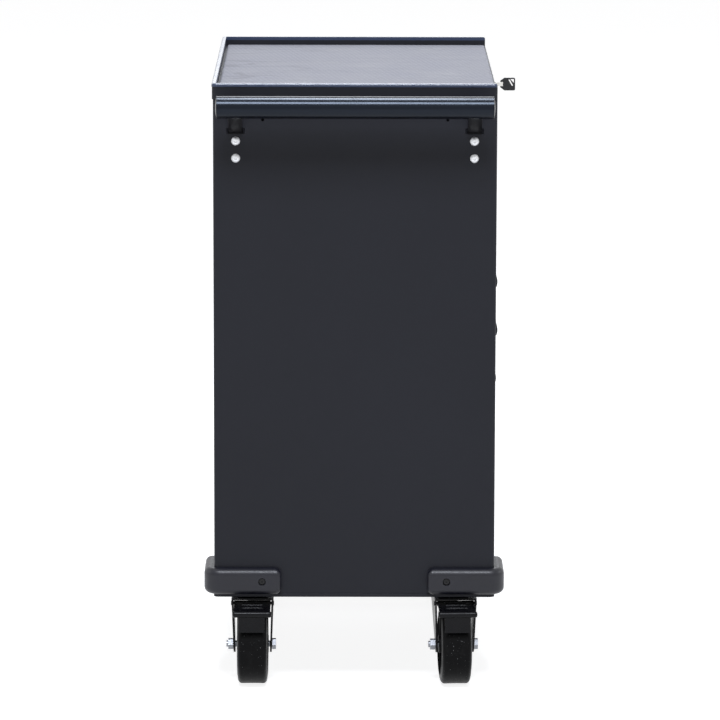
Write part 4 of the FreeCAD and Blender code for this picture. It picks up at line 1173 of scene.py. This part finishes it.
@dataclass
class Studio:
    """White sweep, soft lamps and the camera at the photograph's angle."""

    lamps: tuple[Softbox, ...] = (
        Softbox("overhead lamp", (1.3, 0.0, 6.36), target=(-0.4, 0.0, 0.94), width=0.9,
                length=2.5, radiance=19.0, tint=(0.87, 0.91, 1.0)),
        Softbox("side lamp", (-3.5, 0.0, 5.4), target=(-0.4, 0.0, 0.94), width=2.2,
                length=1.7, radiance=20.0, tint=(0.87, 0.91, 1.0)),
        Softbox("front lamp", (0.4, -4.2, 2.2)),
        Softbox("back lamp", (0.4, 4.2, 2.2), radiance=1.4),
        Softbox("right lamp", (4.2, 0.0, 2.4)),
    )
    camera_place: Point = (-7.60125, 0.02983, 1.834)
    pitch: float = 10.13
    yaw: float = -0.208
    roll: float = 0.13
    focal_pixels: float = 4687.0
    picture_pixels: float = 720.0
    sensor_width: float = 36.0
    clip_start: float = 0.5
    clip_end: float = 200.0
    floor_radius: float = 55.0
    floor_sides: int = 96
    floor_colour: Colour = (0.5, 0.5, 0.5)
    floor_glow: float = 0.86
    room_light: float = 0.15

    def camera(self) -> None:
        """Sets up the camera from its place and its pitch, yaw and roll."""
        pitch, yaw, roll = (math.radians(a) for a in (self.pitch, self.yaw, self.roll))
        ahead = Vector((math.cos(pitch) * math.cos(yaw), math.cos(pitch) * math.sin(yaw),
                        -math.sin(pitch)))
        level = ahead.cross(Vector((0, 0, 1))).normalized()
        above = level.cross(ahead)
        right = math.cos(roll) * level + math.sin(roll) * above
        up = math.cos(roll) * above - math.sin(roll) * level
        data = bpy.data.cameras.new("camera")
        data.sensor_width = self.sensor_width
        data.lens = self.focal_pixels / self.picture_pixels * data.sensor_width
        data.clip_start = self.clip_start
        data.clip_end = self.clip_end
        holder = bpy.data.objects.new("camera", data)
        turn = Matrix((right, up, -ahead)).transposed().to_4x4()
        holder.matrix_world = Matrix.Translation(self.camera_place) @ turn
        bpy.context.scene.collection.objects.link(holder)
        bpy.context.scene.camera = holder

    def seen(self, tree: bpy.types.NodeTree) -> Socket:
        """1 for rays from the camera, from gloss and through glass, and otherwise 0.

        Args:
            tree: The node tree that asks.

        Returns:
            The socket.
        """
        path = tree.nodes.new("ShaderNodeLightPath")
        total = path.outputs["Is Camera Ray"]
        for name in ("Is Glossy Ray", "Is Transmission Ray"):
            largest = tree.nodes.new("ShaderNodeMath")
            largest.operation = "MAXIMUM"
            tree.links.new(total, largest.inputs[0])
            tree.links.new(path.outputs[name], largest.inputs[1])
            total = largest.outputs[0]
        return total

    def floor(self) -> None:
        """Lays the round floor: one flat disc, pale, and white where it is seen unshadowed."""
        angles = np.linspace(0, 2 * math.pi, self.floor_sides, endpoint=False)
        ring = np.stack([self.floor_radius * np.cos(angles), self.floor_radius * np.sin(angles),
                         np.zeros_like(angles)], axis=-1)
        mesh = bpy.data.meshes.new("studio_floor")
        mesh.from_pydata(ring.tolist(), [], [list(range(len(ring)))])
        piece = bpy.data.objects.new("studio_floor", mesh)
        bpy.context.scene.collection.objects.link(piece)
        wiring = Wiring("studio floor")
        grain = wiring.noise(2.0, detail=3.0)
        colour = wiring.mixed(wiring.spread(grain), self.floor_colour,
                              scaled(self.floor_colour, 0.98))
        glow = wiring.times(self.seen(wiring.tree), self.floor_glow)
        wiring.dress(Base_Color=colour, Roughness=0.9, Specular_IOR_Level=0.1,
                     Emission_Color=(1.0, 1.0, 1.0), Emission_Strength=glow)
        piece.data.materials.append(wiring.material)

    def room(self) -> None:
        """Sets the world: white where it is seen, and a soft fill elsewhere."""
        world = bpy.data.worlds.new("studio room")
        bpy.context.scene.world = world
        world.use_nodes = True
        tree = world.node_tree
        background = tree.nodes["Background"]
        background.inputs["Color"].default_value = (1.0, 1.0, 1.0, 1.0)
        strength = tree.nodes.new("ShaderNodeMapRange")
        tree.links.new(self.seen(tree), strength.inputs["Value"])
        strength.inputs["To Min"].default_value = self.room_light
        strength.inputs["To Max"].default_value = 1.0
        tree.links.new(strength.outputs[0], background.inputs["Strength"])

    def build(self) -> None:
        """Adds the camera, floor, room and lamps."""
        bpy.context.scene.view_settings.view_transform = "Standard"
        self.camera()
        self.floor()
        self.room()
        for lamp in self.lamps:
            lamp.build()


def main() -> None:
    """Builds the studio and dresses the cabinet, sub-assembly by sub-assembly."""
    logging.basicConfig(level=logging.INFO, format="%(message)s")
    for part in (Studio(), CabinetBody(), TopMat(), PushHandle(), Fasteners(), CornerBumpers(),
                 DrawerStack(), LockSet(), Casters()):
        part.build()
        report.info("%s is done", type(part).__name__)


if __name__ == "__main__":
    main()
